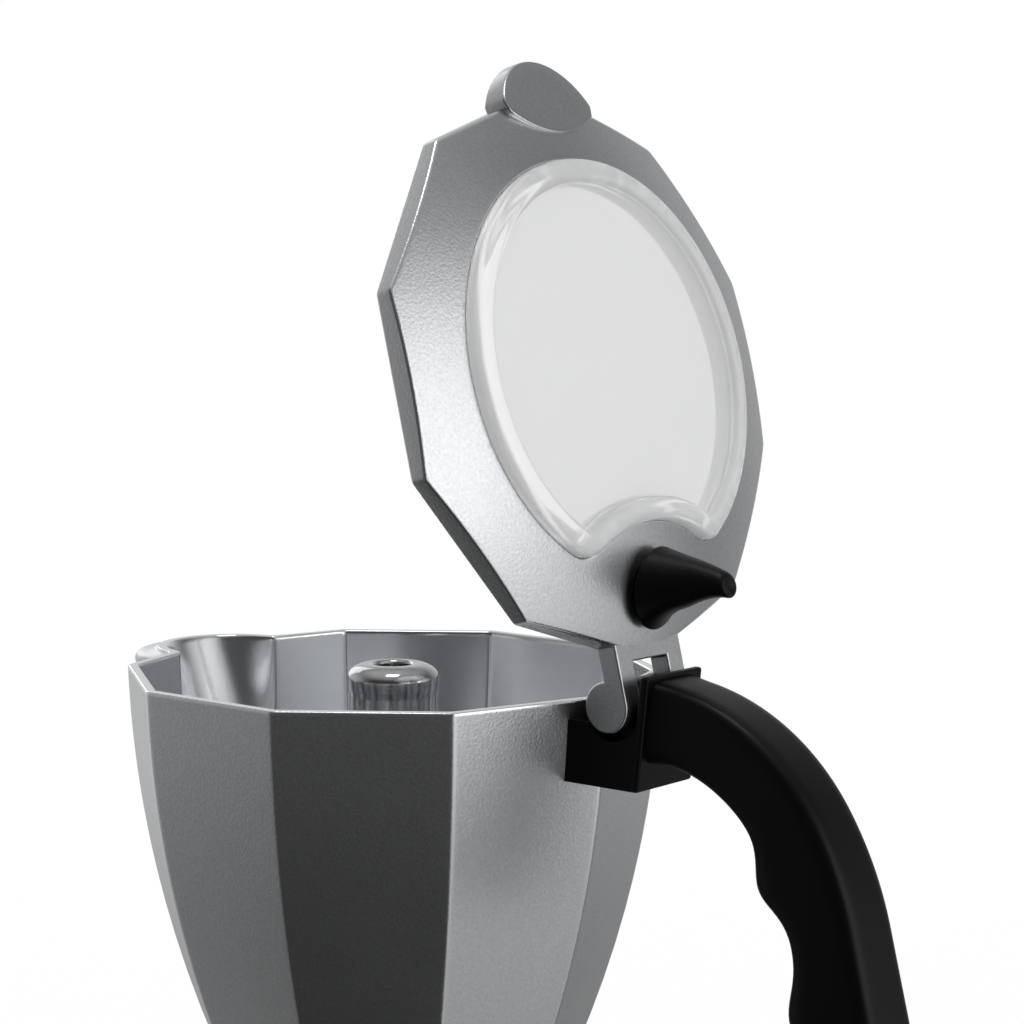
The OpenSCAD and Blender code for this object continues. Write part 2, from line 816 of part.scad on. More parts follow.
module lid_window() {
    top = window_edge_z + 3 * bead_h;
    skirt_low = window_seat_z - skirt_h;
    color("azure", 0.5)
        opened()
            difference() {
                union() {
                    intersection() {
                        window_prism(0, window_seat_z, top);
                        dome(bead_h, window_seat_z - 1);
                    }
                    window_prism(ledge_w + fit_gap, skirt_low, window_seat_z + 0.5);
                }
                window_prism(bead_w, pane_top_z, top + dome_h);
                window_prism(ledge_w + fit_gap + skirt_t, skirt_low - 1, window_seat_z);
            }
}

module knob_body() {
    rings = 16;
    sides = 32;
    low = knob_foot_z - 4;
    points = [for (i = [0 : rings - 1], j = [0 : sides - 1])
        let (
            t = max(0, (i - 2) / (rings - 3)),
            up = i == 0 ? low : knob_foot_z + knob_h * t - (i == 1 ? knob_lift / 2 : 0),
            r = i < 2 ? knob_neck_r : knob_tip_r + (knob_r - knob_tip_r) * pow(1 - t, 1.35),
            tilt = i == 0 ? 0 : tan(knob_slope) * (1 - t),
            a = 360 * j / sides
        )
            [knob_x + knob_lean * pow(t, 3.4) + r * cos(a), r * sin(a), up - tilt * r * cos(a)]];
    polyhedron(points, [for (f = tube_faces(rings, sides)) [f[0], f[2], f[1]]]);
}

module lid_knob() {
    color([0.05, 0.05, 0.05])
        opened()
            difference() {
                knob_body();
                dome(fit_gap, lid_under - 2 * dome_h);
                translate([knob_x, 0, 0])
                    cylinder(knob_foot_z + knob_hole_h, screw_r + fit_gap, screw_r + fit_gap);
            }
}

module knob_screw() {
    color("silver")
        opened()
            translate([knob_x, 0, knob_boss_z])
                screw_up(knob_foot_z + knob_hole_h - 1 - knob_boss_z);
}

module hinge_pin() {
    color("silver")
        translate([hinge_x, -ear_out + blind_wall + run_gap, rim_z])
            rotate([-90, 0, 0])
                cylinder(2 * ear_out - blind_wall - 2 * run_gap, pin_r, pin_r);
}

// Handle

function ridge_at(s) = ridge_h * sum_of([for (p = ridges) exp(-pow((s - p) / ridge_run, 2))]);
// Slope of the grip at a distance along it, and the middle of the grip there
function grip_slope(s) =
    root_slope
    + max(0, min(1, (s - root_l) / bend_l)) * bend_turn
    + max(0, min(1, (s - root_l - bend_l) / sweep_l)) * sweep_turn;
function bent(radius, from, to) = radius * [sin(to) - sin(from), cos(to) - cos(from)];
function grip_point(s) =
    let (
        slope = grip_slope(s),
        first = min(slope, root_slope + bend_turn),
        straight = max(0, s - root_l - bend_l - sweep_l)
    )
        [flange_face_x - 1, -grip_drop]
        + min(s, root_l) * [cos(root_slope), -sin(root_slope)]
        + bent(bend_r, root_slope, first)
        + bent(sweep_r, first, max(first, slope))
        + straight * [cos(slope), -sin(slope)];

module grip() {
    stations = 46;
    sides = 24;
    points = [for (i = [0 : stations - 1], j = [0 : sides - 1])
        let (
            s = (grip_l + grip_end_depth / 2) * i / (stations - 1),
            past = max(0, s - grip_l) / (grip_end_depth / 2),
            taper = sqrt(1 - pow(min(past, 0.985), 2)),
            slope = grip_slope(s),
            c = grip_point(s),
            share = min(1, s / grip_l),
            half_w = taper * (grip_w + (grip_end_w - grip_w) * share) / 2,
            outer = taper * (grip_depth + (grip_end_depth - grip_depth) * share) / 2,
            inner = outer + taper * ridge_at(s),
            t = 360 * j / sides,
            d = power(cos(t), 0.42) * (cos(t) > 0 ? outer : inner),
            w = power(sin(t), 0.42) * half_w
        )
            [c.x + d * sin(slope), w, c.y + d * cos(slope)]];
    polyhedron(points, tube_faces(stations, sides));
}

module side_plate(width, outline) {
    rotate([90, 0, 0])
        linear_extrude(width, center = true)
            polygon(outline);
}

module handle() {
    inner_x = rim_flat_r - 2 * collector_wall;
    low = -block_h;
    foot_x = flange_face_x - flange_lean;
    head_h = screw_head_h + 1.5;
    tongue_r = knuckle_r - run_gap;
    color([0.05, 0.05, 0.05])
        translate([0, 0, rim_z])
            difference() {
                union() {
                    difference() {
                        side_plate(2 * block_half_w, [
                            [inner_x, low], [foot_x + 1, low],
                            [flange_face_x, -shoulder_drop], [inner_x, -shoulder_drop]
                        ]);
                        translate([hinge_x, 0, 0])
                            rotate([90, 0, 0])
                                cylinder(3 * ear_out, pocket_r, pocket_r, center = true);
                    }
                    side_plate(2 * flange_half_w, [
                        [foot_x, low], [foot_x + flange_t, low],
                        [flange_face_x + flange_t, flange_h], [flange_face_x, flange_h]
                    ]);
                    translate([hinge_x, 0, 0])
                        rotate([90, 0, 0])
                            cylinder(ear_gap - 2 * run_gap, tongue_r, tongue_r, center = true);
                    translate([hinge_x - tongue_r, -ear_gap / 2 + run_gap, low + 1])
                        cube([2 * tongue_r, ear_gap - 2 * run_gap, -low - 1]);
                    grip();
                }
                translate([0, 0, -rim_z])
                    ten_sided()
                        collector_profile(-fit_gap, skirt_z, rim_z + 1);
                translate([0, 0, -rim_z])
                    lug(fit_gap);
                translate([hinge_x, 0, 0])
                    rotate([90, 0, 0])
                        cylinder(3 * ear_out, pin_r + fit_gap / 2, pin_r + fit_gap / 2, center = true);
                translate([handle_screw_x, 0, low - 1])
                    cylinder(block_h, screw_r + fit_gap, screw_r + fit_gap);
                translate([handle_screw_x, 0, low - 1])
                    cylinder(head_h - 0.4, screw_head_r + run_gap, screw_head_r + run_gap);
            }
}

module handle_screw() {
    seat = -block_h + screw_head_h + 0.1;
    color("silver")
        translate([handle_screw_x, 0, rim_z + seat])
            screw_up(block_h - lug_drop - screw_head_h + lug_h - 2);
}

// Boiler

module boiler() {
    thread_low = shoulder_z + 2;
    turns = floor((neck_h - 3) / thread_pitch);
    color("gainsboro")
        difference() {
            union() {
                ten_sided()
                    bowed_profile(
                        boiler_bow_x, boiler_z + boiler_upright_z, boiler_bow_r, boiler_z, shoulder_z);
                translate([0, 0, shoulder_z - 1])
                    cylinder(neck_h + 1, neck_r, neck_r);
                on_valve_axis()
                    translate([0, 0, -boiler_wall])
                        cylinder(boiler_wall + valve_boss_h, valve_hex_r + 1, valve_hex_r + 1);
            }
            ten_sided()
                bowed_profile(
                    boiler_bow_x, boiler_z + boiler_upright_z, boiler_bow_r - boiler_wall,
                    boiler_z + boiler_floor_t, shoulder_z - boiler_wall);
            translate([0, 0, shoulder_z - boiler_wall - 1])
                cylinder(neck_h + boiler_wall + 2, neck_bore_r, neck_bore_r);
            for (k = [0 : turns - 1])
                translate([0, 0, thread_low + k * thread_pitch])
                    rotate_extrude()
                        polygon([
                            [neck_r + 1, 0], [neck_r + 1, thread_pitch * 0.6],
                            [neck_r - thread_depth, thread_pitch * 0.45],
                            [neck_r - thread_depth, thread_pitch * 0.15]
                        ]);
            on_valve_axis()
                translate([0, 0, -valve_seat_r])
                    cylinder(2 * valve_seat_r, valve_shank_r + fit_gap, valve_shank_r + fit_gap);
            around(3, 30)
                translate([flange_screw_x, 0, boiler_z - 1])
                    cylinder(boiler_floor_t, screw_r + fit_gap, screw_r + fit_gap);
        }
}

module funnel() {
    cup_z = neck_top_z + funnel_rim_t - funnel_cup_h;
    cone_z = cup_z - funnel_cone_h;
    stem_z = boiler_z + boiler_floor_t + stem_gap;
    inner_r = funnel_r - funnel_wall;
    stem_bore_r = stem_r - funnel_wall;
    color("silver")
        difference() {
            union() {
                translate([0, 0, neck_top_z])
                    cylinder(funnel_rim_t, funnel_rim_r, funnel_rim_r);
                translate([0, 0, cup_z])
                    cylinder(funnel_cup_h, funnel_r, funnel_r);
                translate([0, 0, cone_z])
                    cylinder(funnel_cone_h, stem_r, funnel_r);
                translate([0, 0, stem_z])
                    cylinder(cone_z - stem_z + 1, stem_r, stem_r);
            }
            translate([0, 0, cup_z + funnel_wall])
                cylinder(FAR, inner_r, inner_r);
            translate([0, 0, cone_z])
                cylinder(funnel_cone_h, stem_bore_r, inner_r);
            translate([0, 0, stem_z - 1])
                cylinder(cone_z - stem_z + 2, stem_bore_r, stem_bore_r);
            sieve(inner_r - 2, cup_z - 1, cup_z + 2);
        }
}

// Valve, drawn along +Z outwards from the boiler's facet

module on_valve_axis() {
    translate([0, 0, boiler_z + valve_z])
        rotate([0, 0, valve_angle])
            rotate([0, 90, 0])
                translate([0, 0, valve_seat_r])
                    children();
}

valve_in = boiler_wall + 3;
valve_end = valve_boss_h + valve_hex_t + valve_nose;
valve_foot = valve_boss_h + fit_gap;

module valve_body() {
    color("goldenrod")
        on_valve_axis()
            difference() {
                union() {
                    translate([0, 0, -valve_in])
                        cylinder(valve_in + valve_foot, valve_shank_r, valve_shank_r);
                    translate([0, 0, valve_foot])
                        cylinder(valve_hex_t, valve_hex_r, valve_hex_r, $fn = 6);
                    cylinder(valve_end, valve_shank_r, valve_shank_r);
                }
                translate([0, 0, -valve_in + 1.5])
                    cylinder(FAR, valve_bore_r, valve_bore_r);
                translate([0, 0, -valve_in - 1])
                    cylinder(4, valve_bore_r / 2, valve_bore_r / 2);
            }
}

valve_cap_t = 2;

module valve_cap() {
    color("goldenrod")
        on_valve_axis()
            ring(valve_bore_r - fit_gap / 2, valve_stem_r + run_gap / 2, valve_end - valve_cap_t, valve_end);
}

valve_pin_foot = -valve_in + 1.5 + fit_gap;
valve_pin_head = 1.5;

module valve_pin() {
    color("goldenrod")
        on_valve_axis()
            translate([0, 0, valve_pin_foot]) {
                cylinder(valve_pin_head, valve_bore_r - run_gap, valve_bore_r - run_gap);
                cylinder(valve_end - valve_pin_foot + 2, valve_stem_r, valve_stem_r);
            }
}

module valve_spring() {
    wire_r = 0.3;
    coil_r = (valve_bore_r + valve_stem_r) / 2;
    low = valve_pin_foot + valve_pin_head + wire_r + fit_gap;
    high = valve_end - valve_cap_t - wire_r - fit_gap;
    turns = 4;
    steps = 12 * turns;
    path = [for (i = [0 : steps])
        let (a = 360 * turns * i / steps)
            [coil_r * cos(a), coil_r * sin(a), low + (high - low) * i / steps]];
    color("silver")
        on_valve_axis()
            swept(path, wire_r, [0, 0, 1], 6);
}

// Heater and its controls

module heater_plate() {
    color("darkgray")
        difference() {
            translate([0, 0, heater_z])
                cylinder(heater_t, heater_r, heater_r);
            for (side = [-1, 1])
                translate([side * (thermostat_r + screw_r + 1.5), 0, heater_z - 1])
                    cylinder(heater_t - 1, screw_r * 0.75 + fit_gap, screw_r * 0.75 + fit_gap);
        }
}

tube_gap_angle = 360 - tube_sweep;

module heater_tube() {
    color("dimgray") {
        translate([0, 0, tube_z])
            rotate([0, 0, 180 + tube_gap_angle / 2])
                rotate_extrude(angle = tube_sweep, $fn = ROUND)
                    translate([tube_ring_r, 0])
                        circle(tube_r);
        for (side = [-1, 1])
            rotate([0, 0, 180 + side * tube_gap_angle / 2])
                translate([tube_ring_r, 0, tube_z]) {
                    sphere(tube_r + run_gap);
                    translate([0, 0, -tube_drop])
                        cylinder(tube_drop, tube_r, tube_r);
                    translate([0, 0, -tube_drop - tube_pin])
                        cylinder(tube_pin + 1, 1.2, 1.2);
                }
    }
}

thermostat_flange_t = 1.2;
thermostat_z = heater_z - fit_gap - thermostat_flange_t;

module thermostat() {
    reach = thermostat_r + screw_r + 1.5;
    color("black")
        difference() {
            union() {
                translate([0, 0, thermostat_z - thermostat_h])
                    cylinder(thermostat_h + thermostat_flange_t, thermostat_r, thermostat_r);
                translate([-reach - 3, -4, thermostat_z])
                    cube([2 * reach + 6, 8, thermostat_flange_t]);
                for (side = [-1, 1])
                    translate([
                        side * thermostat_r / 2 - terminal_t / 2, -terminal_w / 2,
                        thermostat_z - thermostat_h - thermostat_tab
                    ])
                        cube([terminal_t, terminal_w, thermostat_tab + 1]);
            }
            for (side = [-1, 1])
                translate([side * reach, 0, thermostat_z - 1])
                    cylinder(4, screw_r * 0.75 + fit_gap, screw_r * 0.75 + fit_gap);
        }
}

module thermostat_screws() {
    color("silver")
        for (side = [-1, 1])
            translate([side * (thermostat_r + screw_r + 1.5), 0, thermostat_z])
                screw_up(heater_t - 1, screw_r * 0.75, screw_r * 1.3, 1.2);
}

module thermal_fuse() {
    color("ivory")
        translate([0, -fuse_x, heater_z - fit_gap - fuse_r]) {
            rotate([0, 90, 0])
                cylinder(fuse_l, fuse_r, fuse_r, center = true);
            translate([-1.5, -fuse_r - 1, -fuse_r - 0.6])
                cube([3, 2 * fuse_r + 2, 0.8 + fuse_r]);
            rotate([0, 90, 0])
                cylinder(fuse_l + 8, 0.5, 0.5, center = true);
        }
}

// A round shell with a roof, open below, whose outer edges are rounded
module round_shell(low, high, foot_r, top_r, wall, roof) {
    foot_round = edge_round / 2;
    rotate_extrude($fn = ROUND)
        polygon(concat(
            [[foot_r - wall, low]],
            [for (t = [0 : 15 : 90]) [
                foot_r - foot_round + foot_round * sin(t), low + foot_round - foot_round * cos(t)]],
            [for (t = [0 : 10 : 90]) [
                top_r - edge_round + edge_round * cos(t), high - edge_round + edge_round * sin(t)]],
            [[0, high], [0, high - roof], [top_r - wall, high - roof]]
        ));
}

// Housing

module housing() {
    top_z = housing_z + housing_h;
    color([0.06, 0.06, 0.06])
        difference() {
            union() {
                round_shell(housing_z, top_z, housing_foot_r, housing_top_r, housing_wall, flange_ring_t);
                intersection() {
                    around(3, 60)
                        translate([boss_x, 0, cover_top_z + fit_gap]) {
                            cylinder(top_z - cover_top_z - 1, boss_r, boss_r);
                            translate([0, -1, 0])
                                cube([housing_foot_r - boss_x, 2, top_z - cover_top_z - 1]);
                        }
                    translate([0, 0, housing_z])
                        cylinder(housing_h, housing_foot_r - 1, housing_top_r - 1, $fn = ROUND);
                }
            }
            translate([0, 0, top_z - flange_ring_t - 1])
                cylinder(flange_ring_t + 2, flange_ring_r, flange_ring_r);
            around(3, 60)
                translate([boss_x, 0, cover_z])
                    cylinder(cover_screw_l + 4, screw_r + fit_gap, screw_r + fit_gap);
            around(3, 30)
                translate([flange_screw_x, 0, top_z - flange_ring_t - 1])
                    cylinder(flange_ring_t + 2, screw_r + fit_gap, screw_r + fit_gap);
            translate([switch_face_x, -switch_w / 2 - 2, switch_z - switch_h / 2 - 2])
                cube([20, switch_w + 4, switch_h + 4]);
            translate([switch_face_x, 0, switch_z])
                cube([20, switch_w - 2 * switch_overlap, switch_h - 2 * switch_overlap], center = true);
            on_lamp_axis() {
                translate([0, 0, -10])
                    cylinder(20, lamp_r + fit_gap, lamp_r + fit_gap);
                translate([0, 0, -10])
                    cylinder(10 - lamp_seat + fit_gap, lamp_flange_r + fit_gap, lamp_flange_r + fit_gap);
            }
        }
}

module housing_screws() {
    color("silver")
        around(3, 30)
            translate([flange_screw_x, 0, boiler_z - flange_ring_t])
                screw_up(flange_ring_t + boiler_floor_t - 2);
}

module on_lamp_axis() {
    translate([0, 0, switch_z])
        rotate([0, 0, lamp_angle])
            rotate([0, 90, 0])
                translate([0, 0, housing_r_at(switch_z)])
                    children();
}

// Depth of the lamp's flange behind the housing's outer face, and its radius
lamp_seat = housing_wall - 0.2;
lamp_flange_r = lamp_r + 1;

module indicator_lamp() {
    crown = 0.8;
    lens_r = (pow(lamp_r, 2) + pow(crown, 2)) / (2 * crown);
    color("red")
        on_lamp_axis()
            rotate_extrude() {
                translate([0, -lamp_seat - 8])
                    square([lamp_r, lamp_seat + 8.2]);
                translate([0, -lamp_seat - 1.5])
                    square([lamp_flange_r, 1.5]);
                translate([0, 0.2 + crown - lens_r])
                    intersection() {
                        circle(lens_r);
                        translate([0, lens_r - crown - 0.1])
                            square([lamp_r, lens_r]);
                    }
            }
}

// Switch, with the rocker's axle along Y behind the housing's flat

rocker_x = switch_face_x - rocker_axle_depth;
well_w = switch_w - 2 * switch_overlap - 2 * switch_wall - fit_gap;
well_h = switch_h - 2 * switch_overlap - 2 * switch_wall - fit_gap;

module switch_body() {
    hole_w = switch_w - 2 * switch_overlap - fit_gap;
    hole_h = switch_h - 2 * switch_overlap - fit_gap;
    well_x = rocker_x - 6;
    color([0.08, 0.08, 0.08])
        translate([0, 0, switch_z])
            difference() {
                union() {
                    translate([switch_face_x + fit_gap, -switch_w / 2, -switch_h / 2])
                        cube([switch_frame_t, switch_w, switch_h]);
                    translate([switch_face_x - switch_depth, -hole_w / 2, -hole_h / 2])
                        cube([switch_depth + 1, hole_w, hole_h]);
                    for (side = [-1, 1])
                        translate([switch_face_x - switch_depth - 7, -2.4, side * 4.5 - 0.4])
                            cube([8, 4.8, 0.8]);
                }
                translate([well_x, -well_w / 2, -well_h / 2])
                    cube([40, well_w, well_h]);
                translate([rocker_x, 0, 0])
                    rotate([90, 0, 0])
                        cylinder(well_w + switch_wall, rocker_axle_r + shaft_gap, rocker_axle_r + shaft_gap, center = true);
            }
}

module rocker() {
    width = well_w - 2 * run_gap;
    reach = sqrt(pow(well_h / 2 - run_gap, 2) - pow(rocker_axle_depth + 1.2, 2));
    face = rocker_axle_depth + 1.2;
    color([0.1, 0.1, 0.1])
        translate([rocker_x, 0, switch_z])
            rotate([0, -rocker_tilt, 0]) {
                side_plate(width, [
                    [-3, -reach * 0.7], [0, -reach], [face, -reach], [face + 0.5, 0],
                    [face, reach], [0, reach], [-3, reach * 0.7]
                ]);
                rotate([90, 0, 0])
                    cylinder(well_w + switch_wall - 2 * fit_gap, rocker_axle_r, rocker_axle_r, center = true);
            }
}

module bottom_cover() {
    outer = housing_foot_r - housing_wall - run_gap - 0.2;
    color([0.06, 0.06, 0.06])
        difference() {
            translate([0, 0, cover_z])
                cylinder(cover_t, outer, outer, $fn = ROUND);
            translate([0, 0, cover_z - 1])
                cylinder(cover_t + 2, socket_out_r + fit_gap, socket_out_r + fit_gap);
            around(3, 60)
                translate([boss_x, 0, cover_z - 1]) {
                    cylinder(cover_t + 2, screw_r + fit_gap, screw_r + fit_gap);
                    cylinder(1 + screw_head_h, screw_head_r + fit_gap, screw_head_r + fit_gap);
                }
        }
}

module cover_screws() {
    color("silver")
        around(3, 60)
            translate([boss_x, 0, cover_z + screw_head_h])
                screw_up(cover_screw_l);
}

// Connectors

module pot_connector() {
    color([0.15, 0.15, 0.15])
        difference() {
            union() {
                translate([0, 0, cover_z])
                    cylinder(socket_top_z - cover_z, socket_out_r, socket_out_r);
                translate([0, 0, cover_top_z + fit_gap])
                    cylinder(socket_wall, socket_out_r + socket_wall, socket_out_r + socket_wall);
                for (k = [-1 : 1])
                    translate([k * terminal_pitch - terminal_t / 2, -terminal_w / 2, socket_roof_z])
                        cube([terminal_t, terminal_w, socket_wall + connector_tab]);
            }
            difference() {
                translate([0, 0, cover_z - 1])
                    cylinder(socket_roof_z - cover_z + 1, socket_r, socket_r);
                translate([0, 0, cover_z + 1])
                    cylinder(40, contact_pin_r, contact_pin_r);
                ring(contact_ring_r + 0.5, contact_ring_r - 0.5, cover_z + 1, cover_z + 40);
            }
            translate([0, 0, cover_z])
                cylinder(6, contact_pin_r - 1.2, contact_pin_r - 1.2);
        }
}

module base_connector() {
    under_z = base_h - deck_t;
    slot = 1.2;
    color([0.15, 0.15, 0.15])
        difference() {
            union() {
                translate([0, 0, under_z - 2])
                    cylinder(post_top_z - under_z + 2, post_r, post_r);
                translate([0, 0, under_z - fit_gap - 3])
                    cylinder(3, post_r + 4, post_r + 4);
            }
            translate([0, 0, base_h])
                cylinder(40, contact_pin_r + slot, contact_pin_r + slot);
            ring(contact_ring_r + slot, contact_ring_r - slot, base_h, base_h + 40);
        }
}

// A lead runs from one terminal to another on a smooth curve that first leaves along its terminals
function lead_path(from, leave, arrive, to) = [for (i = [0 : 12])
    let (t = i / 12, u = 1 - t)
        u * u * u * from + 3 * u * u * t * (from + leave) + 3 * u * t * t * (to + arrive) + t * t * t * to];

module leads() {
    wire_r = 1;
    plug_z = socket_top_z + connector_tab + wire_r + fit_gap;
    switch_x = switch_face_x - switch_depth - 7 - wire_r - fit_gap;
    tab_x = thermostat_r / 2;
    thermostat_tab_z = thermostat_z - thermostat_h - thermostat_tab - wire_r - fit_gap;
    pin_z = tube_z - tube_drop - tube_pin - fit_gap - wire_r;
    end_angle = 180 + tube_gap_angle / 2;
    pin_a = tube_ring_r * [cos(end_angle), sin(end_angle), 0] + [0, 0, pin_z];
    pin_b = [pin_a.x, -pin_a.y, pin_z];
    fuse_z = heater_z - fit_gap - fuse_r;
    fuse_end = fuse_l / 2 + 4 + wire_r + fit_gap;
    color("firebrick") {
        swept(lead_path(
            [terminal_pitch, 0, plug_z], [4, 6, room * 0.16], [-6, 3, room * 0.3],
            [switch_x, 0, switch_z - 4.5]), wire_r, [0, 1, 0]);
        swept(lead_path(
            [switch_x, 0, switch_z + 4.5], [-6, 8, 0], [0, 8, 0], [tab_x, 0, thermostat_tab_z]), wire_r, [0, 0, 1]);
        swept(lead_path(
            [-tab_x, 0, thermostat_tab_z], [-2, 10, 0], [6, 4, 0], pin_b), wire_r, [0, 0, 1]);
        swept(lead_path(
            pin_a, [8, -6, -2], [-4, 2, -4], [-fuse_end, -fuse_x, fuse_z]), wire_r, [0, 0, 1]);
        swept(lead_path(
            [fuse_end, -fuse_x, fuse_z], [4, 3, -3], [0, -12, 0], [0, 0, plug_z]), wire_r, [1, 0, 0]);
    }
}

// Power base

module base_shell() {
    color([0.06, 0.06, 0.06])
        difference() {
            union() {
                round_shell(pad_t, base_h, base_r, base_deck_r, base_wall, deck_t);
                around(4, 45)
                    translate([base_boss_x, 0, pad_t + plate_t + fit_gap])
                        cylinder(base_h - deck_t - pad_t - plate_t + 1, boss_r, boss_r);
            }
            translate([0, 0, base_h - deck_t - 1])
                cylinder(deck_t + 2, post_r + fit_gap, post_r + fit_gap);
            around(4, 45)
                translate([base_boss_x, 0, pad_t])
                    cylinder(base_h - deck_t - pad_t - 1, screw_r + fit_gap, screw_r + fit_gap);
            on_gland_axis() {
                cylinder(40, gland_out_r + fit_gap, gland_out_r + fit_gap, center = true);
                cylinder(20, gland_flange_r + fit_gap, gland_flange_r + fit_gap);
                translate([0, 0, -gland_grip - 10])
                    cylinder(10, gland_flange_r + fit_gap, gland_flange_r + fit_gap);
            }
        }
}

module base_plate() {
    outer = base_r - base_wall - run_gap - 0.2;
    color([0.06, 0.06, 0.06])
        difference() {
            translate([0, 0, pad_t])
                cylinder(plate_t, outer, outer, $fn = ROUND);
            around(4, 45)
                translate([base_boss_x, 0, pad_t - 1]) {
                    cylinder(plate_t + 2, screw_r + fit_gap, screw_r + fit_gap);
                    cylinder(1 + screw_head_h, screw_head_r + fit_gap, screw_head_r + fit_gap);
                }
        }
}

module base_screws() {
    color("silver")
        around(4, 45)
            translate([base_boss_x, 0, pad_t + screw_head_h])
                screw_up(base_screw_l);
}

gland_out_r = gland_bore_r + 1.6;
gland_flange_r = gland_out_r + gland_flange_w;
gland_grip = base_wall - 0.6;
gland_z = (pad_t + plate_t + base_h - deck_t) / 2;
gland_y = base_r + (base_deck_r - base_r) * (gland_z - pad_t) / (base_h - pad_t);

// The gland's axis runs along +Z outwards through the wall of the power base
module on_gland_axis() {
    translate([0, gland_y, gland_z])
        rotate([-90, 0, 0])
            children();
}

module cord_gland() {
    flange_t = 2;
    inner = -gland_grip - fit_gap - flange_t;
    color([0.06, 0.06, 0.06])
        on_gland_axis()
            difference() {
                union() {
                    translate([0, 0, inner - 1])
                        cylinder(1 - inner + 3.1, gland_out_r, gland_out_r);
                    translate([0, 0, fit_gap])
                        cylinder(flange_t, gland_flange_r, gland_flange_r);
                    translate([0, 0, inner])
                        cylinder(flange_t, gland_flange_r, gland_flange_r);
                }
                cylinder(60, gland_bore_r, gland_bore_r, center = true);
            }
}

module anti_slip_pad() {
    outer = base_r - pad_inset;
    groove = 0.8;
    color([0.12, 0.12, 0.12])
        difference() {
            cylinder(pad_t, outer, outer, $fn = ROUND);
            for (k = [1 : 3])
                ring(outer * k / 4 + groove, outer * k / 4 - groove, -1, pad_t / 2);
        }
}

collector();
coffee_column();
handle();
handle_screw();
hinge_pin();
gasket();
filter_plate();
lid_frame();
lid_window();
lid_knob();
knob_screw();
boiler();
funnel();
valve_body();
valve_cap();
valve_spring();
valve_pin();
heater_plate();
heater_tube();
thermostat();
thermostat_screws();
thermal_fuse();
housing();
housing_screws();
switch_body();
rocker();
indicator_lamp();
bottom_cover();
cover_screws();
pot_connector();
leads();
base_shell();
base_plate();
base_screws();
base_connector();
cord_gland();
anti_slip_pad();
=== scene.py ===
"""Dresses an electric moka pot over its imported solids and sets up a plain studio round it."""

import json
import math

import bmesh
import bpy
from bpy.props import FloatProperty, FloatVectorProperty, IntProperty, PointerProperty
from mathutils import Matrix, Vector


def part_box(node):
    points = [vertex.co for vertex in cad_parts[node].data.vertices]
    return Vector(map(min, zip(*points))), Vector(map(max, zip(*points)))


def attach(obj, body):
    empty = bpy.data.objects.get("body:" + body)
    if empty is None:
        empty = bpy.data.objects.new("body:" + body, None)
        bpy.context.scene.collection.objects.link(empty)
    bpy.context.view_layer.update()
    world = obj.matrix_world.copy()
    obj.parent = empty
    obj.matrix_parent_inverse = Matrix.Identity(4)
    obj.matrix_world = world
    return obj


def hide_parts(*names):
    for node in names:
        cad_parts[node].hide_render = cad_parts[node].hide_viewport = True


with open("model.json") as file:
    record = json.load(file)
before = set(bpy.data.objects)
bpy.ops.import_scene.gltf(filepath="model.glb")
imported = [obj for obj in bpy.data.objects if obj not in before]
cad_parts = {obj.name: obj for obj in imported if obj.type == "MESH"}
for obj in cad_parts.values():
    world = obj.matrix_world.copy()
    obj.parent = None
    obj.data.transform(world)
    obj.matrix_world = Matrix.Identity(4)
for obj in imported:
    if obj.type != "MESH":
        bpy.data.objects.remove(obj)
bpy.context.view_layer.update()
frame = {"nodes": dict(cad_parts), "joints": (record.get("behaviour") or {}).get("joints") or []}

bl_info = {
    "name": "Electric Moka Pot",
    "version": (1, 0, 0),
    "blender": (4, 5, 0),
    "location": "3D View > Sidebar > Moka Pot",
    "description": "Dresses the electric moka pot and sets up its studio",
    "category": "Object",
}

MM = 0.001
SIDES = 10
MERGE_DISTANCE = 0.002 * MM
GRAIN_MIX = 0.3
UP = (0.0, 0.0, 1.0)
JOINTS = {joint["name"]: joint for joint in frame["joints"]}
HINGE = Vector(JOINTS["lid_hinge"]["pos_m"])
RIM_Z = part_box("collector")[1].z
SKIRT_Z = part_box("collector")[0].z
BOILER_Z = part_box("boiler")[0].z
NECK_TOP_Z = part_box("boiler")[1].z
COLLECTOR_FLOOR_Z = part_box("filter_plate")[1].z + 5.25 * MM


# Settings


def length_setting(name, description, millimetres):
    """A length that a user may change, kept in metres."""
    return FloatProperty(name=name, description=description, default=millimetres * MM, unit="LENGTH")


def angle_setting(name, description, degrees):
    """An angle that a user may change."""
    return FloatProperty(name=name, description=description, default=math.radians(degrees), subtype="ANGLE")


def colour_setting(name, description, default):
    """A colour that a user may change."""
    return FloatVectorProperty(name=name, description=description, default=default, subtype="COLOR")


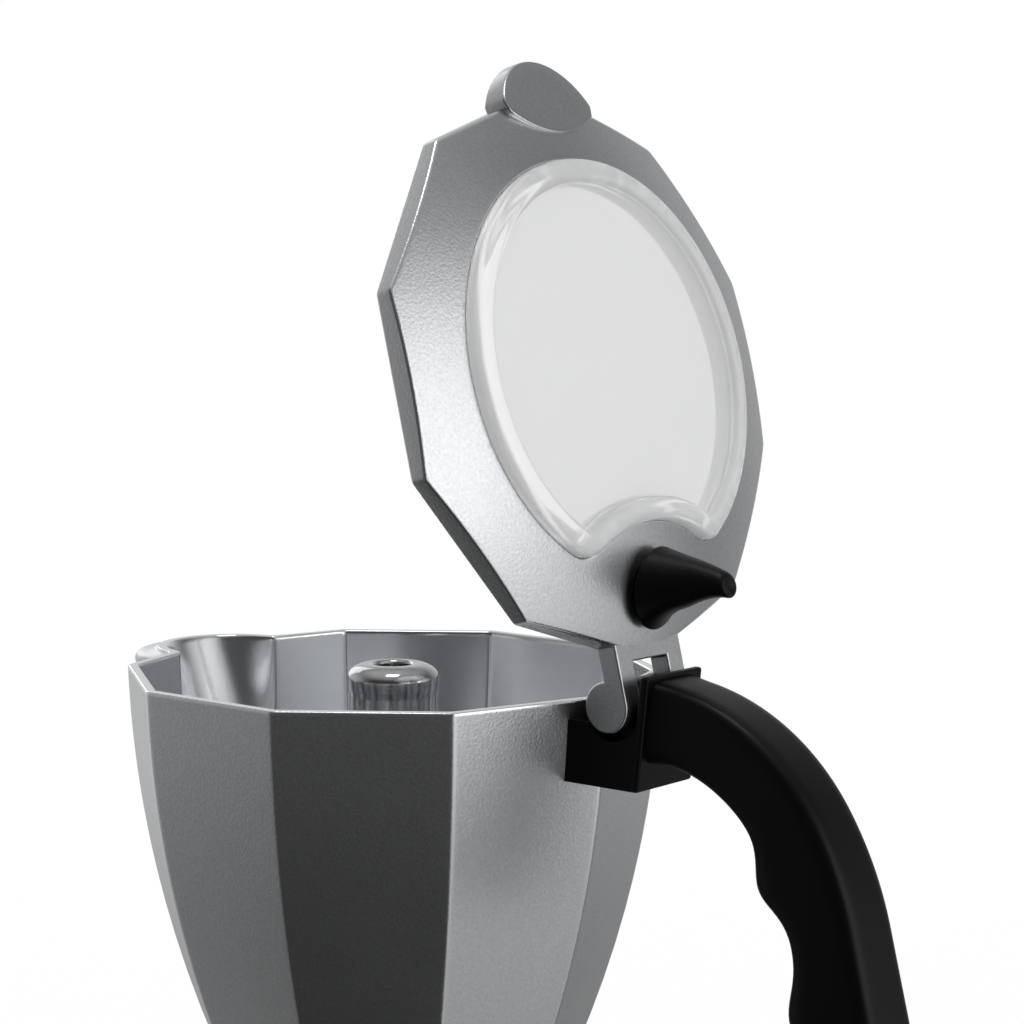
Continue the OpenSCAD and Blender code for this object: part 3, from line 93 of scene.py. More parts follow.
class PotShape(bpy.types.PropertyGroup):
    """Sizes of the collector, its spout and the boiler."""

    rim_radius: length_setting("Rim radius", "Radius of the rim at its corners", 52)
    wall: length_setting("Wall", "Wall of the collector", 2)
    facet_bow: length_setting("Facet bow", "Radius of the upright bow of each facet", 219)
    facet_upright: length_setting("Upright height", "Height above the rim where the facets stand upright", 6)
    edge_sharpness: FloatProperty(
        name="Edge sharpness", description="Higher values make the edges between facets crisper", default=420)
    spout_radius: length_setting("Spout radius", "Radius of the spout's channel", 12.6)
    spout_reach: length_setting("Spout reach", "Reach of the spout's crest past the rim", 6.2)
    spout_tilt: angle_setting("Spout tilt", "Lean of the spout's channel", 20.5)
    lip_reach: length_setting("Lip reach", "Reach of the rolled lip past the rim", 13.9)
    lip_radius: length_setting("Lip radius", "Radius of the rolled lip in plan", 16.1)
    lip_thickness: length_setting("Lip thickness", "Thickness of the rolled lip", 3.4)
    boiler_flat: length_setting("Boiler flat", "Distance of the boiler's flats from the axis", 49)
    boiler_bow: length_setting("Boiler bow", "Radius of the upright bow of the boiler's facets", 156)
    neck_radius: length_setting("Neck radius", "Radius of the threaded neck", 31)


class LidShape(bpy.types.PropertyGroup):
    """Sizes of the lid, its window and its knob."""

    opening: angle_setting("Opening", "Angle at which the lid stands open", 76)
    gap: length_setting("Gap", "Gap between the closed lid and the rim", 0.5)
    edge: length_setting("Edge", "Height of the lid's corners", 3.2)
    dome: length_setting("Dome", "Rise of the dome above the corners", 9.5)
    shell: length_setting("Shell", "Wall of the dome", 2.6)
    window_radius: length_setting("Window radius", "Radius of the window", 38)
    scallop_radius: length_setting("Scallop radius", "Radius of the scallop before the knob", 30)
    scallop_place: length_setting("Scallop place", "Distance of the scallop's edge from the centre", 28.2)
    lobe_radius: length_setting("Lobe radius", "Radius of the lobes beside the scallop", 5)
    bead: length_setting("Bead", "Height of the window's bead above the dome", 2.2)
    tab_slope: angle_setting("Tab slope", "Slope of the spout tab's face", 13.5)
    knuckle: length_setting("Knuckle", "Radius of the hinge's knuckles", 4.6)
    knob_place: length_setting("Knob place", "Distance of the knob from the lid's centre", 39.9)
    knob_radius: length_setting("Knob radius", "Radius of the knob at its foot", 6.9)
    knob_lift: length_setting("Knob lift", "Height of the knob's foot above the dome", 1.6)
    knob_height: length_setting("Knob height", "Height of the knob", 15.4)


class HandleShape(bpy.types.PropertyGroup):
    """Sizes of the handle."""

    half_width: length_setting("Half width", "Half width of the hinge block", 7.8)
    block_depth: length_setting("Block depth", "Depth of the hinge block below the rim", 14.8)
    shoulder: length_setting("Shoulder", "Depth of the hinge block's top below the rim", 3.4)
    flange_half: length_setting("Flange half width", "Half width of the flange", 8.3)
    flange_place: length_setting("Flange place", "Distance of the flange's top edge from the hinge", 6.5)
    flange_lean: length_setting("Flange lean", "Lean of the flange over its height", 2.3)
    flange_thickness: length_setting("Flange thickness", "Thickness of the flange", 1.8)
    grip_drop: length_setting("Grip drop", "Drop of the grip's root below the rim", 1.7)
    root_slope: angle_setting("Root slope", "Slope of the grip's root", 10)
    root_length: length_setting("Root length", "Length of the grip's straight root", 6.5)
    bend_radius: length_setting("First bend", "Radius of the grip's first bend", 36)
    bend_turn: angle_setting("First turn", "Turn of the grip's first bend", 46.5)
    sweep_radius: length_setting("Second bend", "Radius of the grip's second bend", 56)
    sweep_turn: angle_setting("Second turn", "Turn of the grip's second bend", 19.5)
    grip_depth: length_setting("Grip depth", "Depth of the grip at the flange", 14.42)
    grip_end_depth: length_setting("Grip end depth", "Depth of the grip at its end", 13.42)
    grip_straight: length_setting("Grip length", "Length of the grip's straight part", 38)
    ridge_height: length_setting("Ridge height", "Height of each finger ridge", 3.8)
    ridge_first: length_setting("First ridge", "Distance of the first ridge along the grip", 42.6)
    ridge_pitch: length_setting("Ridge pitch", "Distance between the finger ridges", 25)


class PotFinish(bpy.types.PropertyGroup):
    """Colours of the finishes."""

    aluminium: colour_setting("Aluminium", "Colour of the cast aluminium", (0.67, 0.68, 0.695))
    plastic: colour_setting("Black plastic", "Colour of the handle", (0.0014, 0.0014, 0.0015))
    housing: colour_setting("Housing", "Colour of the heated base", (0.006, 0.006, 0.0064))
    brass: colour_setting("Brass", "Colour of the safety valve", (0.71, 0.52, 0.23))


class Studio(bpy.types.PropertyGroup):
    """Camera, light and fineness of the facets."""

    focal: FloatProperty(name="Focal length", description="Lens of the camera, in millimetres", default=90.6)
    yaw: angle_setting("Yaw", "Turn of the camera about the vertical", -39.64)
    pitch: angle_setting("Pitch", "Tilt of the camera below level", 5.81)
    key_power: FloatProperty(name="Key power", description="Power of the key light, in watts", default=2.0)
    columns: IntProperty(name="Columns", description="Columns of faces across one plain facet", default=10)


# Mesh helpers


def loft(bm, rings):
    """Joins each ring of points to the next by a row of faces and returns the rows of vertices."""
    rows = [[bm.verts.new(point) for point in ring] for ring in rings]
    for low, high in zip(rows, rows[1:]):
        for i in range(len(low)):
            bm.faces.new((low[i - 1], low[i], high[i], high[i - 1]))
    return rows


def lathe_rings(profile, count):
    """Rings of points about the pot's axis from a profile of radii and heights."""
    turns = [2 * math.pi * i / count for i in range(count)]
    return [[Vector((r * math.cos(a), r * math.sin(a), z)) for a in turns] for r, z in profile]


def mark(rows, layer, values):
    """Writes one value per row, or one per vertex, into a float layer."""
    for row, value in zip(rows, values):
        for i, vert in enumerate(row):
            vert[layer] = value[i] if isinstance(value, (list, tuple)) else value


def plate(bm, outline, places):
    """Lofts one upright outline from place to place along Y and closes both ends."""
    rows = loft(bm, [[Vector((x, y, z)) for x, z in outline] for y in places])
    bm.faces.new(rows[0][::-1])
    bm.faces.new(rows[-1])
    return rows


def cast_mesh():
    """An empty mesh with the two layers that the cast aluminium reads: edge, for a painted highlight, and
    inside, for painted light.
    """
    bm = bmesh.new()
    return bm, bm.verts.layers.float.new("edge"), bm.verts.layers.float.new("inside")


def finish_piece(name, bm, material, body, replaces=(), rounding=None, smooth=True):
    """Turns a bmesh into an object that rides on a body and stands for CAD nodes."""
    bmesh.ops.remove_doubles(bm, verts=bm.verts, dist=MERGE_DISTANCE)
    bmesh.ops.recalc_face_normals(bm, faces=bm.faces)
    mesh = bpy.data.meshes.new(name)
    bm.to_mesh(mesh)
    bm.free()
    mesh.materials.append(material)
    piece = bpy.data.objects.new(name, mesh)
    bpy.context.scene.collection.objects.link(piece)
    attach(piece, body)
    if replaces:
        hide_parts(*replaces)
    if rounding:
        round_edges(piece, *rounding)
    if smooth:
        mesh.shade_smooth()
        weight_normals(piece)


def round_edges(piece, width, segments, angle):
    """Rounds the edges of a piece that are sharper than an angle in degrees."""
    bevel = piece.modifiers.new("rounded edges", "BEVEL")
    bevel.width = width
    bevel.segments = segments
    bevel.limit_method = "ANGLE"
    bevel.angle_limit = math.radians(angle)
    bevel.harden_normals = False


def weight_normals(piece):
    """Lets the large faces set the normals, so that flats stay flat."""
    weighted = piece.modifiers.new("weighted normals", "WEIGHTED_NORMAL")
    weighted.weight = 80
    weighted.keep_sharp = True


def open_lid(bm, lid):
    """Turns closed-lid geometry about the hinge to where the lid stands."""
    bmesh.ops.rotate(
        bm, verts=bm.verts, cent=HINGE, matrix=Matrix.Rotation(lid.opening, 3, "Y"))


def smooth_max(a, b, reach):
    """The larger of two values, with a rounded change from one to the other."""
    h = max(reach - abs(a - b), 0.0) / reach
    return max(a, b) + h * h * reach / 4


def facet_radius(angle, flat, sharpness):
    """Distance from the axis to a ten-sided outline with softly rounded corners."""
    total = 0.0
    for k in range(SIDES):
        c = math.cos(angle - math.pi * (2 * k + 1) / SIDES)
        if c > 0.6:
            total += c ** sharpness
    return flat * total ** (-1.0 / sharpness)


def ray_to_oval(angle, centre, half_x, half_y):
    """Far crossing of a ray from the axis with an upright oval centred on the spout's side."""
    c, s = math.cos(angle), math.sin(angle)
    a = (c / half_x) ** 2 + (s / half_y) ** 2
    b = 2 * centre * c / half_x ** 2
    d = (centre / half_x) ** 2 - 1
    root = b * b - 4 * a * d
    return (-b + math.sqrt(root)) / (2 * a) if root > 0 else 0.0


def facet_angles(columns, fine_from, fine_to, fine_step):
    """Angles round the axis, close together at the corners and over one stretch that needs detail."""
    facet, least_step = 360 / SIDES, 0.2
    corner = [0.0, 0.35, 0.8, 1.5, 2.6]
    step = (facet / 2 - corner[-1]) / (columns / 2)
    half = corner + [corner[-1] + step * (i + 1) for i in range(columns // 2)]
    offsets = half + [-offset for offset in half]
    around = {round((facet * k + offset) % 360, 4) for k in range(SIDES) for offset in offsets}

    def needs_detail(angle):
        past_full_turn = fine_to > 360 and angle < fine_from
        return fine_from < (angle + 360 if past_full_turn else angle) < fine_to

    plain = [angle for angle in around if not needs_detail(angle)]
    count = int((fine_to - fine_from) / fine_step)
    fine = [(fine_from + fine_step * i) % 360 for i in range(count + 1)]
    merged = sorted({round(angle, 4) for angle in plain + fine})
    kept = merged[:1]
    for angle in merged[1:]:
        if angle - kept[-1] > least_step:
            kept.append(angle)
    return [math.radians(angle) for angle in kept]


def corner_mask(angle):
    """One on a facet's corner, falling to nothing beside it."""
    half_facet, fade = 180 / SIDES, 0.9
    off = (math.degrees(angle) + half_facet) % (2 * half_facet) - half_facet
    return max(0.0, 1 - abs(off) / fade)


# Materials


def new_group(name, inputs, outputs):
    """An empty shader node group with float inputs and named outputs."""
    group = bpy.data.node_groups.new(name, "ShaderNodeTree")
    for label, default in inputs:
        socket = group.interface.new_socket(label, in_out="INPUT", socket_type="NodeSocketFloat")
        socket.default_value = default
    for label in outputs:
        group.interface.new_socket(label, in_out="OUTPUT", socket_type="NodeSocketFloat")
    return group, group.nodes.new("NodeGroupInput"), group.nodes.new("NodeGroupOutput")


def add(tree, kind, **settings):
    """A node with settings on its own properties and on its sockets by name."""
    node = tree.nodes.new(kind)
    for key, value in settings.items():
        if hasattr(node, key):
            setattr(node, key, value)
        else:
            node.inputs[key.replace("_", " ").title() if key.islower() else key].default_value = value
    return node


def feed(tree, value, socket):
    """Links an output to a socket, or sets a number or a colour on it."""
    if isinstance(value, bpy.types.NodeSocket):
        tree.links.new(value, socket)
    else:
        socket.default_value = (*value, 1.0) if isinstance(value, tuple) else value


def math_node(tree, operation, first, second):
    """A math node fed by sockets or plain numbers."""
    node = add(tree, "ShaderNodeMath", operation=operation)
    feed(tree, first, node.inputs[0])
    feed(tree, second, node.inputs[1])
    return node.outputs[0]


def vector_math(tree, operation, vector, other=None):
    """A vector math node on a vector, with a plain second vector where it takes one."""
    node = add(tree, "ShaderNodeVectorMath", operation=operation)
    tree.links.new(vector, node.inputs[0])
    if other:
        node.inputs[1].default_value = other
    return node.outputs["Vector" if operation == "NORMALIZE" else "Value"]


def ramp_between(tree, factor, low, high, start=0.0, end=1.0, kind="LINEAR"):
    """A value that runs from low to high as the factor runs from start to end."""
    node = add(tree, "ShaderNodeMapRange", interpolation_type=kind)
    for label, value in (("From Min", start), ("From Max", end), ("To Min", low), ("To Max", high)):
        node.inputs[label].default_value = value
    tree.links.new(factor, node.inputs["Value"])
    return node.outputs[0]


def colour_between(tree, factor, low, high):
    """A colour that runs from low to high with the factor."""
    node = add(tree, "ShaderNodeMix", data_type="RGBA")
    feed(tree, factor, node.inputs[0])
    feed(tree, low, node.inputs[6])
    feed(tree, high, node.inputs[7])
    return node.outputs[2]


def bump_from(tree, height, strength, distance):
    """A bump node on a height."""
    node = add(tree, "ShaderNodeBump", strength=strength, distance=distance)
    tree.links.new(height, node.inputs["Height"])
    return node.outputs[0]


def attribute(tree, name):
    """The mask that a piece's vertices carry under a name."""
    return add(tree, "ShaderNodeAttribute", attribute_name=name).outputs["Fac"]


def object_texture(tree, kind, scale, **settings):
    """A texture on the piece's Object coordinates, at a scale that may come from a socket."""
    node = add(tree, kind, **settings)
    place = tree.nodes.new("ShaderNodeTexCoord")
    tree.links.new(place.outputs["Object"], node.inputs["Vector"])
    feed(tree, scale, node.inputs["Scale"])
    return node


def grain_group():
    """Blasted or moulded grain: a height for bumps and a mask of the grain's hollows."""
    name = "Surface grain"
    if name in bpy.data.node_groups:
        return bpy.data.node_groups[name]
    group, source, result = new_group(name, [("Scale", 1400.0), ("Mix", 0.5)], ["Height", "Hollows"])
    scale = source.outputs["Scale"]
    noise = object_texture(group, "ShaderNodeTexNoise", scale, detail=2.0, roughness=0.6)
    cells = object_texture(group, "ShaderNodeTexVoronoi", scale, feature="SMOOTH_F1")
    mixed = group.nodes.new("ShaderNodeMix")
    feed(group, source.outputs["Mix"], mixed.inputs[0])
    feed(group, noise.outputs[0], mixed.inputs[2])
    feed(group, cells.outputs["Distance"], mixed.inputs[3])
    hollows = ramp_between(group, mixed.outputs[0], 0.0, 1.0, 0.3, 0.7)
    feed(group, mixed.outputs[0], result.inputs["Height"])
    feed(group, hollows, result.inputs["Hollows"])
    return group


def handling_group():
    """Broad, faint unevenness, as handling and casting leave it."""
    name = "Handling"
    if name in bpy.data.node_groups:
        return bpy.data.node_groups[name]
    group, source, result = new_group(name, [("Scale", 40.0)], ["Cloud"])
    noise = object_texture(group, "ShaderNodeTexNoise", source.outputs["Scale"], detail=4.0, roughness=0.55)
    feed(group, noise.outputs[0], result.inputs["Cloud"])
    return group


def rubbed_edge_highlight_group():
    """Edges rubbed glossy, with a painted highlight: a mask from the piece's own edge attribute, broken up a
    little.
    """
    name = "Rubbed edge"
    if name in bpy.data.node_groups:
        return bpy.data.node_groups[name]
    group, source, result = new_group(name, [("Amount", 0.8)], ["Mask"])
    noise = object_texture(group, "ShaderNodeTexNoise", 300.0, detail=2.0)
    broken = math_node(group, "ADD", math_node(group, "MULTIPLY", noise.outputs[0], 0.6), 0.55)
    rubbed_highlight = math_node(group, "MULTIPLY", attribute(group, "edge"), broken)
    feed(group, math_node(group, "MULTIPLY", rubbed_highlight, source.outputs["Amount"]), result.inputs["Mask"])
    return group


def place_group(tree, group, **inputs):
    """A group node with its input values set."""
    node = add(tree, "ShaderNodeGroup", node_tree=group)
    for label, value in inputs.items():
        node.inputs[label].default_value = value
    return node


def shade(colour, factor):
    """A colour made darker or lighter."""
    return tuple(min(1.0, c * factor) for c in colour)


def new_material(name):
    """A material with its node tree and its surface shader."""
    material = bpy.data.materials.new(name)
    material.use_nodes = True
    tree = material.node_tree
    return material, tree, tree.nodes["Principled BSDF"]


def dress(tree, surface, values):
    """Sets or feeds the sockets of a surface shader by name."""
    for label, value in values.items():
        feed(tree, value, surface.inputs[label])


def metal(name, colour, roughness, spread, grain_scale, grain_depth, worn_and_highlight=0.0, smooth_inside_painted_light=False):
    """Metal with grain, uneven gloss, edges rubbed glossy with a painted highlight and, where asked, a
    smoother inside with painted light that makes it lighter.
    """
    if name in bpy.data.materials:
        return bpy.data.materials[name]
    material, tree, surface = new_material(name)
    grain = place_group(tree, grain_group(), Scale=grain_scale, Mix=GRAIN_MIX)
    cloud = place_group(tree, handling_group(), Scale=45.0).outputs["Cloud"]
    # Rubbed edges get a lighter tone as a painted highlight. The inside gets a lighter tone as painted light.
    hollow, height, rubbed_highlight_tone, inside_painted_light = (shade(colour, f) for f in (0.88, 1.06, 1.35, 1.2))
    rubbed_gloss, inside_gloss, inside_smooth = 0.16, 0.12, 0.85
    gloss = ramp_between(tree, cloud, roughness - spread, roughness + spread)
    tone = colour_between(tree, grain.outputs["Hollows"], hollow, height)
    depth = grain.outputs["Height"]
    # Painted highlight: the edge mask makes the tone lighter. It also makes the edges glossier.
    if worn_and_highlight:
        rubbed_highlight = place_group(tree, rubbed_edge_highlight_group(), Amount=worn_and_highlight).outputs["Mask"]
        tone = colour_between(tree, rubbed_highlight, tone, rubbed_highlight_tone)
        gloss = math_node(tree, "SUBTRACT", gloss, math_node(tree, "MULTIPLY", rubbed_highlight, rubbed_gloss))
    # Painted light: the inside mask makes the tone lighter. It also makes the inside smoother and glossier.
    if smooth_inside_painted_light:
        inside = attribute(tree, "inside")
        tone = colour_between(tree, inside, tone, inside_painted_light)
        gloss = math_node(tree, "SUBTRACT", gloss, math_node(tree, "MULTIPLY", inside, inside_gloss))
        outside = math_node(tree, "SUBTRACT", 1.0, math_node(tree, "MULTIPLY", inside, inside_smooth))
        depth = math_node(tree, "MULTIPLY", depth, outside)
    dress(tree, surface, {
        "Metallic": 1.0, "Base Color": tone, "Roughness": gloss,
        "Normal": bump_from(tree, depth, 0.5, grain_depth),
    })
    return material


def plastic(name, colour, roughness, grain_scale, grain_depth, coat=0.0):
    """Moulded plastic or rubber with a fine grain and faint handling marks."""
    if name in bpy.data.materials:
        return bpy.data.materials[name]
    material, tree, surface = new_material(name)
    grain = place_group(tree, grain_group(), Scale=grain_scale, Mix=GRAIN_MIX)
    cloud = place_group(tree, handling_group(), Scale=60.0).outputs["Cloud"]
    spread = 0.06
    dress(tree, surface, {
        "Base Color": colour_between(tree, cloud, shade(colour, 0.8), shade(colour, 1.25)),
        "Roughness": ramp_between(tree, cloud, roughness - spread, roughness + spread),
        "Normal": bump_from(tree, grain.outputs["Height"], 0.35, grain_depth),
        "Specular IOR Level": 0.2, "Coat Weight": coat, "Coat Roughness": 0.2,
    })
    return material


def clear_plastic(name, colour, roughness, frost=0.0, clear=1.0):
    """Clear or milky moulded plastic, paler as a painted highlight and duller where the piece's bead
    attribute says so.
    """
    if name in bpy.data.materials:
        return bpy.data.materials[name]
    material, tree, surface = new_material(name)
    cloud = place_group(tree, handling_group(), Scale=30.0).outputs["Cloud"]
    bead = attribute(tree, "bead")
    plain = colour_between(tree, cloud, shade(colour, 0.985), colour)
    gloss = ramp_between(tree, cloud, roughness * 0.8, roughness * 1.2)
    dress(tree, surface, {
        # Painted highlight: the bead's base colour is paler.
        "Base Color": colour_between(tree, bead, plain, shade(colour, 1.16)),
        "Roughness": math_node(tree, "ADD", gloss, math_node(tree, "MULTIPLY", bead, frost)),
        "Transmission Weight": clear, "IOR": 1.49,
    })
    return material


def cast_aluminium():
    """Blasted casting of the collector, the lid and the boiler, with a painted highlight on its edges and
    painted light on its inside.
    """
    return metal(
        "cast aluminium", bpy.context.scene.moka_finish.aluminium[:], 0.33, 0.04, 1900.0, 0.00009,
        worn_and_highlight=0.9, smooth_inside_painted_light=True)


def polished_aluminium():
    """Turned and polished column."""
    return metal("polished aluminium", (0.55, 0.55, 0.56), 0.1, 0.03, 700.0, 0.00001)


def sheet_aluminium():
    """Pressed sheet of the filter, the funnel and the heater's plate."""
    return metal("sheet aluminium", (0.7, 0.7, 0.71), 0.3, 0.05, 1800.0, 0.00003)


def plated_steel():
    """Screws, hinge pin and valve spring."""
    return metal("plated steel", (0.58, 0.58, 0.59), 0.26, 0.05, 2000.0, 0.00002)


def heater_steel():
    """Sheath of the heating element."""
    return metal("annealed steel", (0.26, 0.25, 0.25), 0.42, 0.08, 1500.0, 0.00004)


def valve_brass():
    """Turned parts of the safety valve."""
    return metal("machined brass", bpy.context.scene.moka_finish.brass[:], 0.24, 0.06, 1600.0, 0.00002)


def handle_plastic():
    """Satin black of the handle and the knob."""
    return plastic("satin black plastic", bpy.context.scene.moka_finish.plastic[:], 0.36, 2600.0, 0.00004)


def housing_plastic():
    """Matt black of the heated base and the power base."""
    return plastic("housing plastic", bpy.context.scene.moka_finish.housing[:], 0.42, 2000.0, 0.00006)


def control_plastic():
    """Dark plastic of the switch's body, the thermostat and the connectors."""
    return plastic("control plastic", (0.025, 0.025, 0.027), 0.5, 1800.0, 0.00005)


def rubber():
    """Pad and gland of the power base."""
    return plastic("base rubber", (0.02, 0.02, 0.02), 0.7, 1500.0, 0.00008)


def sign_paint():
    """White of the switch's signs."""
    return plastic("white sign paint", (0.75, 0.75, 0.74), 0.5, 2400.0, 0.00002)


def window_plastic():
    """Milky plastic of the lid's window."""
    return clear_plastic("window plastic", (0.85, 0.853, 0.853), 0.08, frost=0.1, clear=0.6)


# Operators


class MOKA_OT_collector(bpy.types.Operator):
    """Builds the ten-sided collector with its spout and rolled lip"""

    bl_idname = "moka.collector"
    bl_label = "Collector"

    lip_drop = 1.2 * MM
    crest_wall = 0.8 * MM
    spout_blend = 2 * MM
    lip_blend = 1.2 * MM
    inside_blend = 3 * MM

    def flat_at(self, pot, z, inset):
        """Distance of the bowed facets from the axis at a height, drawn in by an inset."""
        rim_flat = pot.rim_radius * math.cos(math.pi / SIDES)
        centre = rim_flat - math.sqrt(pot.facet_bow ** 2 - pot.facet_upright ** 2)
        return centre + math.sqrt((pot.facet_bow - inset) ** 2 - (z - RIM_Z - pot.facet_upright) ** 2)

    def channel(self, pot, angle, z, radius):
        """Distance to the spout's leaning channel."""
        start = pot.rim_radius + pot.spout_reach - pot.spout_radius / math.cos(pot.spout_tilt)
        centre = start + (z - RIM_Z) * math.tan(pot.spout_tilt)
        return ray_to_oval(angle, centre, radius / math.cos(pot.spout_tilt), radius)

    def lip(self, pot, angle, z):
        """Distance to the rolled lip, or nothing below it."""
        below = RIM_Z - z
        half = pot.lip_thickness / 2
        nose = pot.lip_radius - half
        middle = self.lip_drop + half
        under = middle + half
        if below > pot.lip_radius:
            return 0.0
        if below > under:
            share = (pot.lip_radius - below) / (pot.lip_radius - under)
            reach = pot.lip_radius / 4 + share * (nose - pot.lip_radius / 4)
        elif below > self.lip_drop:
            reach = nose + math.sqrt(max(0.0, half ** 2 - (below - middle) ** 2))
        else:
            share = below / self.lip_drop
            reach = pot.lip_radius / 2 + share * (nose - pot.lip_radius / 2)
        return ray_to_oval(angle, pot.rim_radius + pot.lip_reach - pot.lip_radius, reach, reach)

    def outer(self, pot, angle, z):
        """Distance to the outside, which stays a thin wall away from the inside."""
        radius = facet_radius(angle, self.flat_at(pot, z, 0), pot.edge_sharpness)
        channel = self.channel(pot, angle, z, pot.spout_radius + pot.wall)
        radius = smooth_max(radius, channel, self.spout_blend)
        radius = smooth_max(radius, self.lip(pot, angle, z), self.lip_blend)
        return max(radius, self.inner(pot, angle, z) + self.crest_wall)

    def inner(self, pot, angle, z):
        """Distance to the inside."""
        radius = facet_radius(angle, self.flat_at(pot, z, pot.wall), pot.edge_sharpness)
        return smooth_max(radius, self.channel(pot, angle, z, pot.spout_radius), self.inside_blend)

    def execute(self, context):
        pot = context.scene.moka_pot
        spout_from, spout_to, spout_step = 158.0, 202.0, 0.7
        angles = facet_angles(context.scene.moka_studio.columns, spout_from, spout_to, spout_step)
        seat_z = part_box("gasket")[1].z
        sieve_z = seat_z + 1 * MM
        sieve_r, thread_r, lead_in, fillet = 27.3 * MM, 31.3 * MM, 0.3 * MM, 3.2 * MM

        def ring(radii, shift, z):
            turned = [(a, r + shift) for a, r in zip(angles, radii)]
            return [Vector((math.cos(a) * r, math.sin(a) * r, z)) for a, r in turned]

        def lathe(radius, z):
            return ring([radius] * len(angles), 0.0, z)

        def outside_at(z):
            return [self.outer(pot, a, z) for a in angles]

        def inside_at(z):
            return [self.inner(pot, a, z) for a in angles]

        skirt = [
            lathe(0.0, sieve_z), lathe(sieve_r, sieve_z), lathe(sieve_r, seat_z), lathe(thread_r, seat_z),
            lathe(thread_r, SKIRT_Z + 0.4 * MM), lathe(thread_r + lead_in, SKIRT_Z),
            ring(outside_at(SKIRT_Z), -0.5 * MM, SKIRT_Z),
            ring(outside_at(SKIRT_Z), -0.12 * MM, SKIRT_Z + 0.12 * MM),
        ]
        outside_depths = [
            73.4, 68, 61, 54, 47, 41, 36, 32, 28, 25, 22, 19.5, 17.5, 16, 15, 13.5, 12, 10.5, 9, 7.5, 6.2,
            5.2, 4.6, 4.25, 3.9, 3.4, 2.9, 2.4, 1.9, 1.55, 1.2, 0.8, 0.5,
        ]
        inside_depths = [0.5, 1.2, 2.5, 4, 6, 8.5, 11, 14, 17, 20, 23, 26.5, 30, 34, 38, 42, 45.5]
        rim_edge = [(0.06, 0.22), (0.18, 0.06), (0.38, 0.0)]
        outside = [ring(outside_at(z), 0.0, z) for z in (RIM_Z - d * MM for d in outside_depths)]
        inside = [ring(inside_at(z), 0.0, z) for z in (RIM_Z - d * MM for d in inside_depths)]
        edge_out, edge_in = outside_at(RIM_Z), inside_at(RIM_Z)
        rim = [ring(edge_out, -draw * MM, RIM_Z - drop * MM) for draw, drop in rim_edge]
        rim += [ring(edge_in, draw * MM, RIM_Z - drop * MM) for draw, drop in reversed(rim_edge)]
        foot = inside_at(COLLECTOR_FLOOR_Z + fillet)
        floor = []
        for turn in (math.pi / 2 * step / 6 for step in range(7)):
            rise = fillet * (1 - math.sin(turn))
            floor.append(ring(foot, -fillet * (1 - math.cos(turn)), COLLECTOR_FLOOR_Z + rise))
        floor += [lathe(radius, COLLECTOR_FLOOR_Z) for radius in (26 * MM, 12 * MM, 0.0)]

        bm, edge, within = cast_mesh()
        rows = loft(bm, skirt + outside + rim + inside + floor)
        # The edge mask paints a highlight on the facet corners and the rim. The inside mask paints the inside
        # lighter.
        corners = [0.75 * corner_mask(a) for a in angles]
        side = len(skirt)
        crown = side + len(outside)
        mark(rows[side:crown], edge, [corners] * len(outside))
        mark(rows[crown - 1:crown + len(rim) + 1], edge, [1.0] * (len(rim) + 2))
        mark(rows[crown + len(rim) // 2:], within, [1.0] * len(rows))
        finish_piece("collector_shell", bm, cast_aluminium(), "upper", ["collector"])
        return {"FINISHED"}


class MOKA_OT_column(bpy.types.Operator):
    """Builds the polished column in the collector"""

    bl_idname = "moka.column"
    bl_label = "Column"

    def execute(self, context):
        low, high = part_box("coffee_column")
        floor, top, cap_r = COLLECTOR_FLOOR_Z, high.z, high.x
        tube_r, root_r, bore_r, bore_low = cap_r - 0.4 * MM, 6.4 * MM, 3.5 * MM, top - 12 * MM
        cap_low, round_r, round_h = top - 5 * MM, 4.2 * MM, 2.9 * MM
        profile = [
            (0.0, low.z), (root_r, low.z), (root_r, floor), (tube_r + 0.9 * MM, floor),
            (tube_r + 0.35 * MM, floor + 0.25 * MM), (tube_r, floor + 0.9 * MM), (tube_r, floor + 10 * MM),
            (tube_r, floor + 25 * MM), (tube_r, cap_low - 1.2 * MM), (tube_r + 0.1 * MM, cap_low - 0.4 * MM),
            (cap_r - 0.08 * MM, cap_low + 0.3 * MM),
        ]
        for turn in (math.pi / 2 * step / 12 for step in range(13)):
            profile.append((cap_r - round_r * (1 - math.cos(turn)), top - round_h * (1 - math.sin(turn))))
        profile += [
            (bore_r + 0.9 * MM, top), (bore_r + 0.35 * MM, top - 0.15 * MM), (bore_r, top - 0.7 * MM),
            (bore_r, bore_low), (0.0, bore_low),
        ]
        bm = bmesh.new()
        loft(bm, lathe_rings(profile, 96))
        finish_piece("column_tube", bm, polished_aluminium(), "upper", ["coffee_column"])
        return {"FINISHED"}


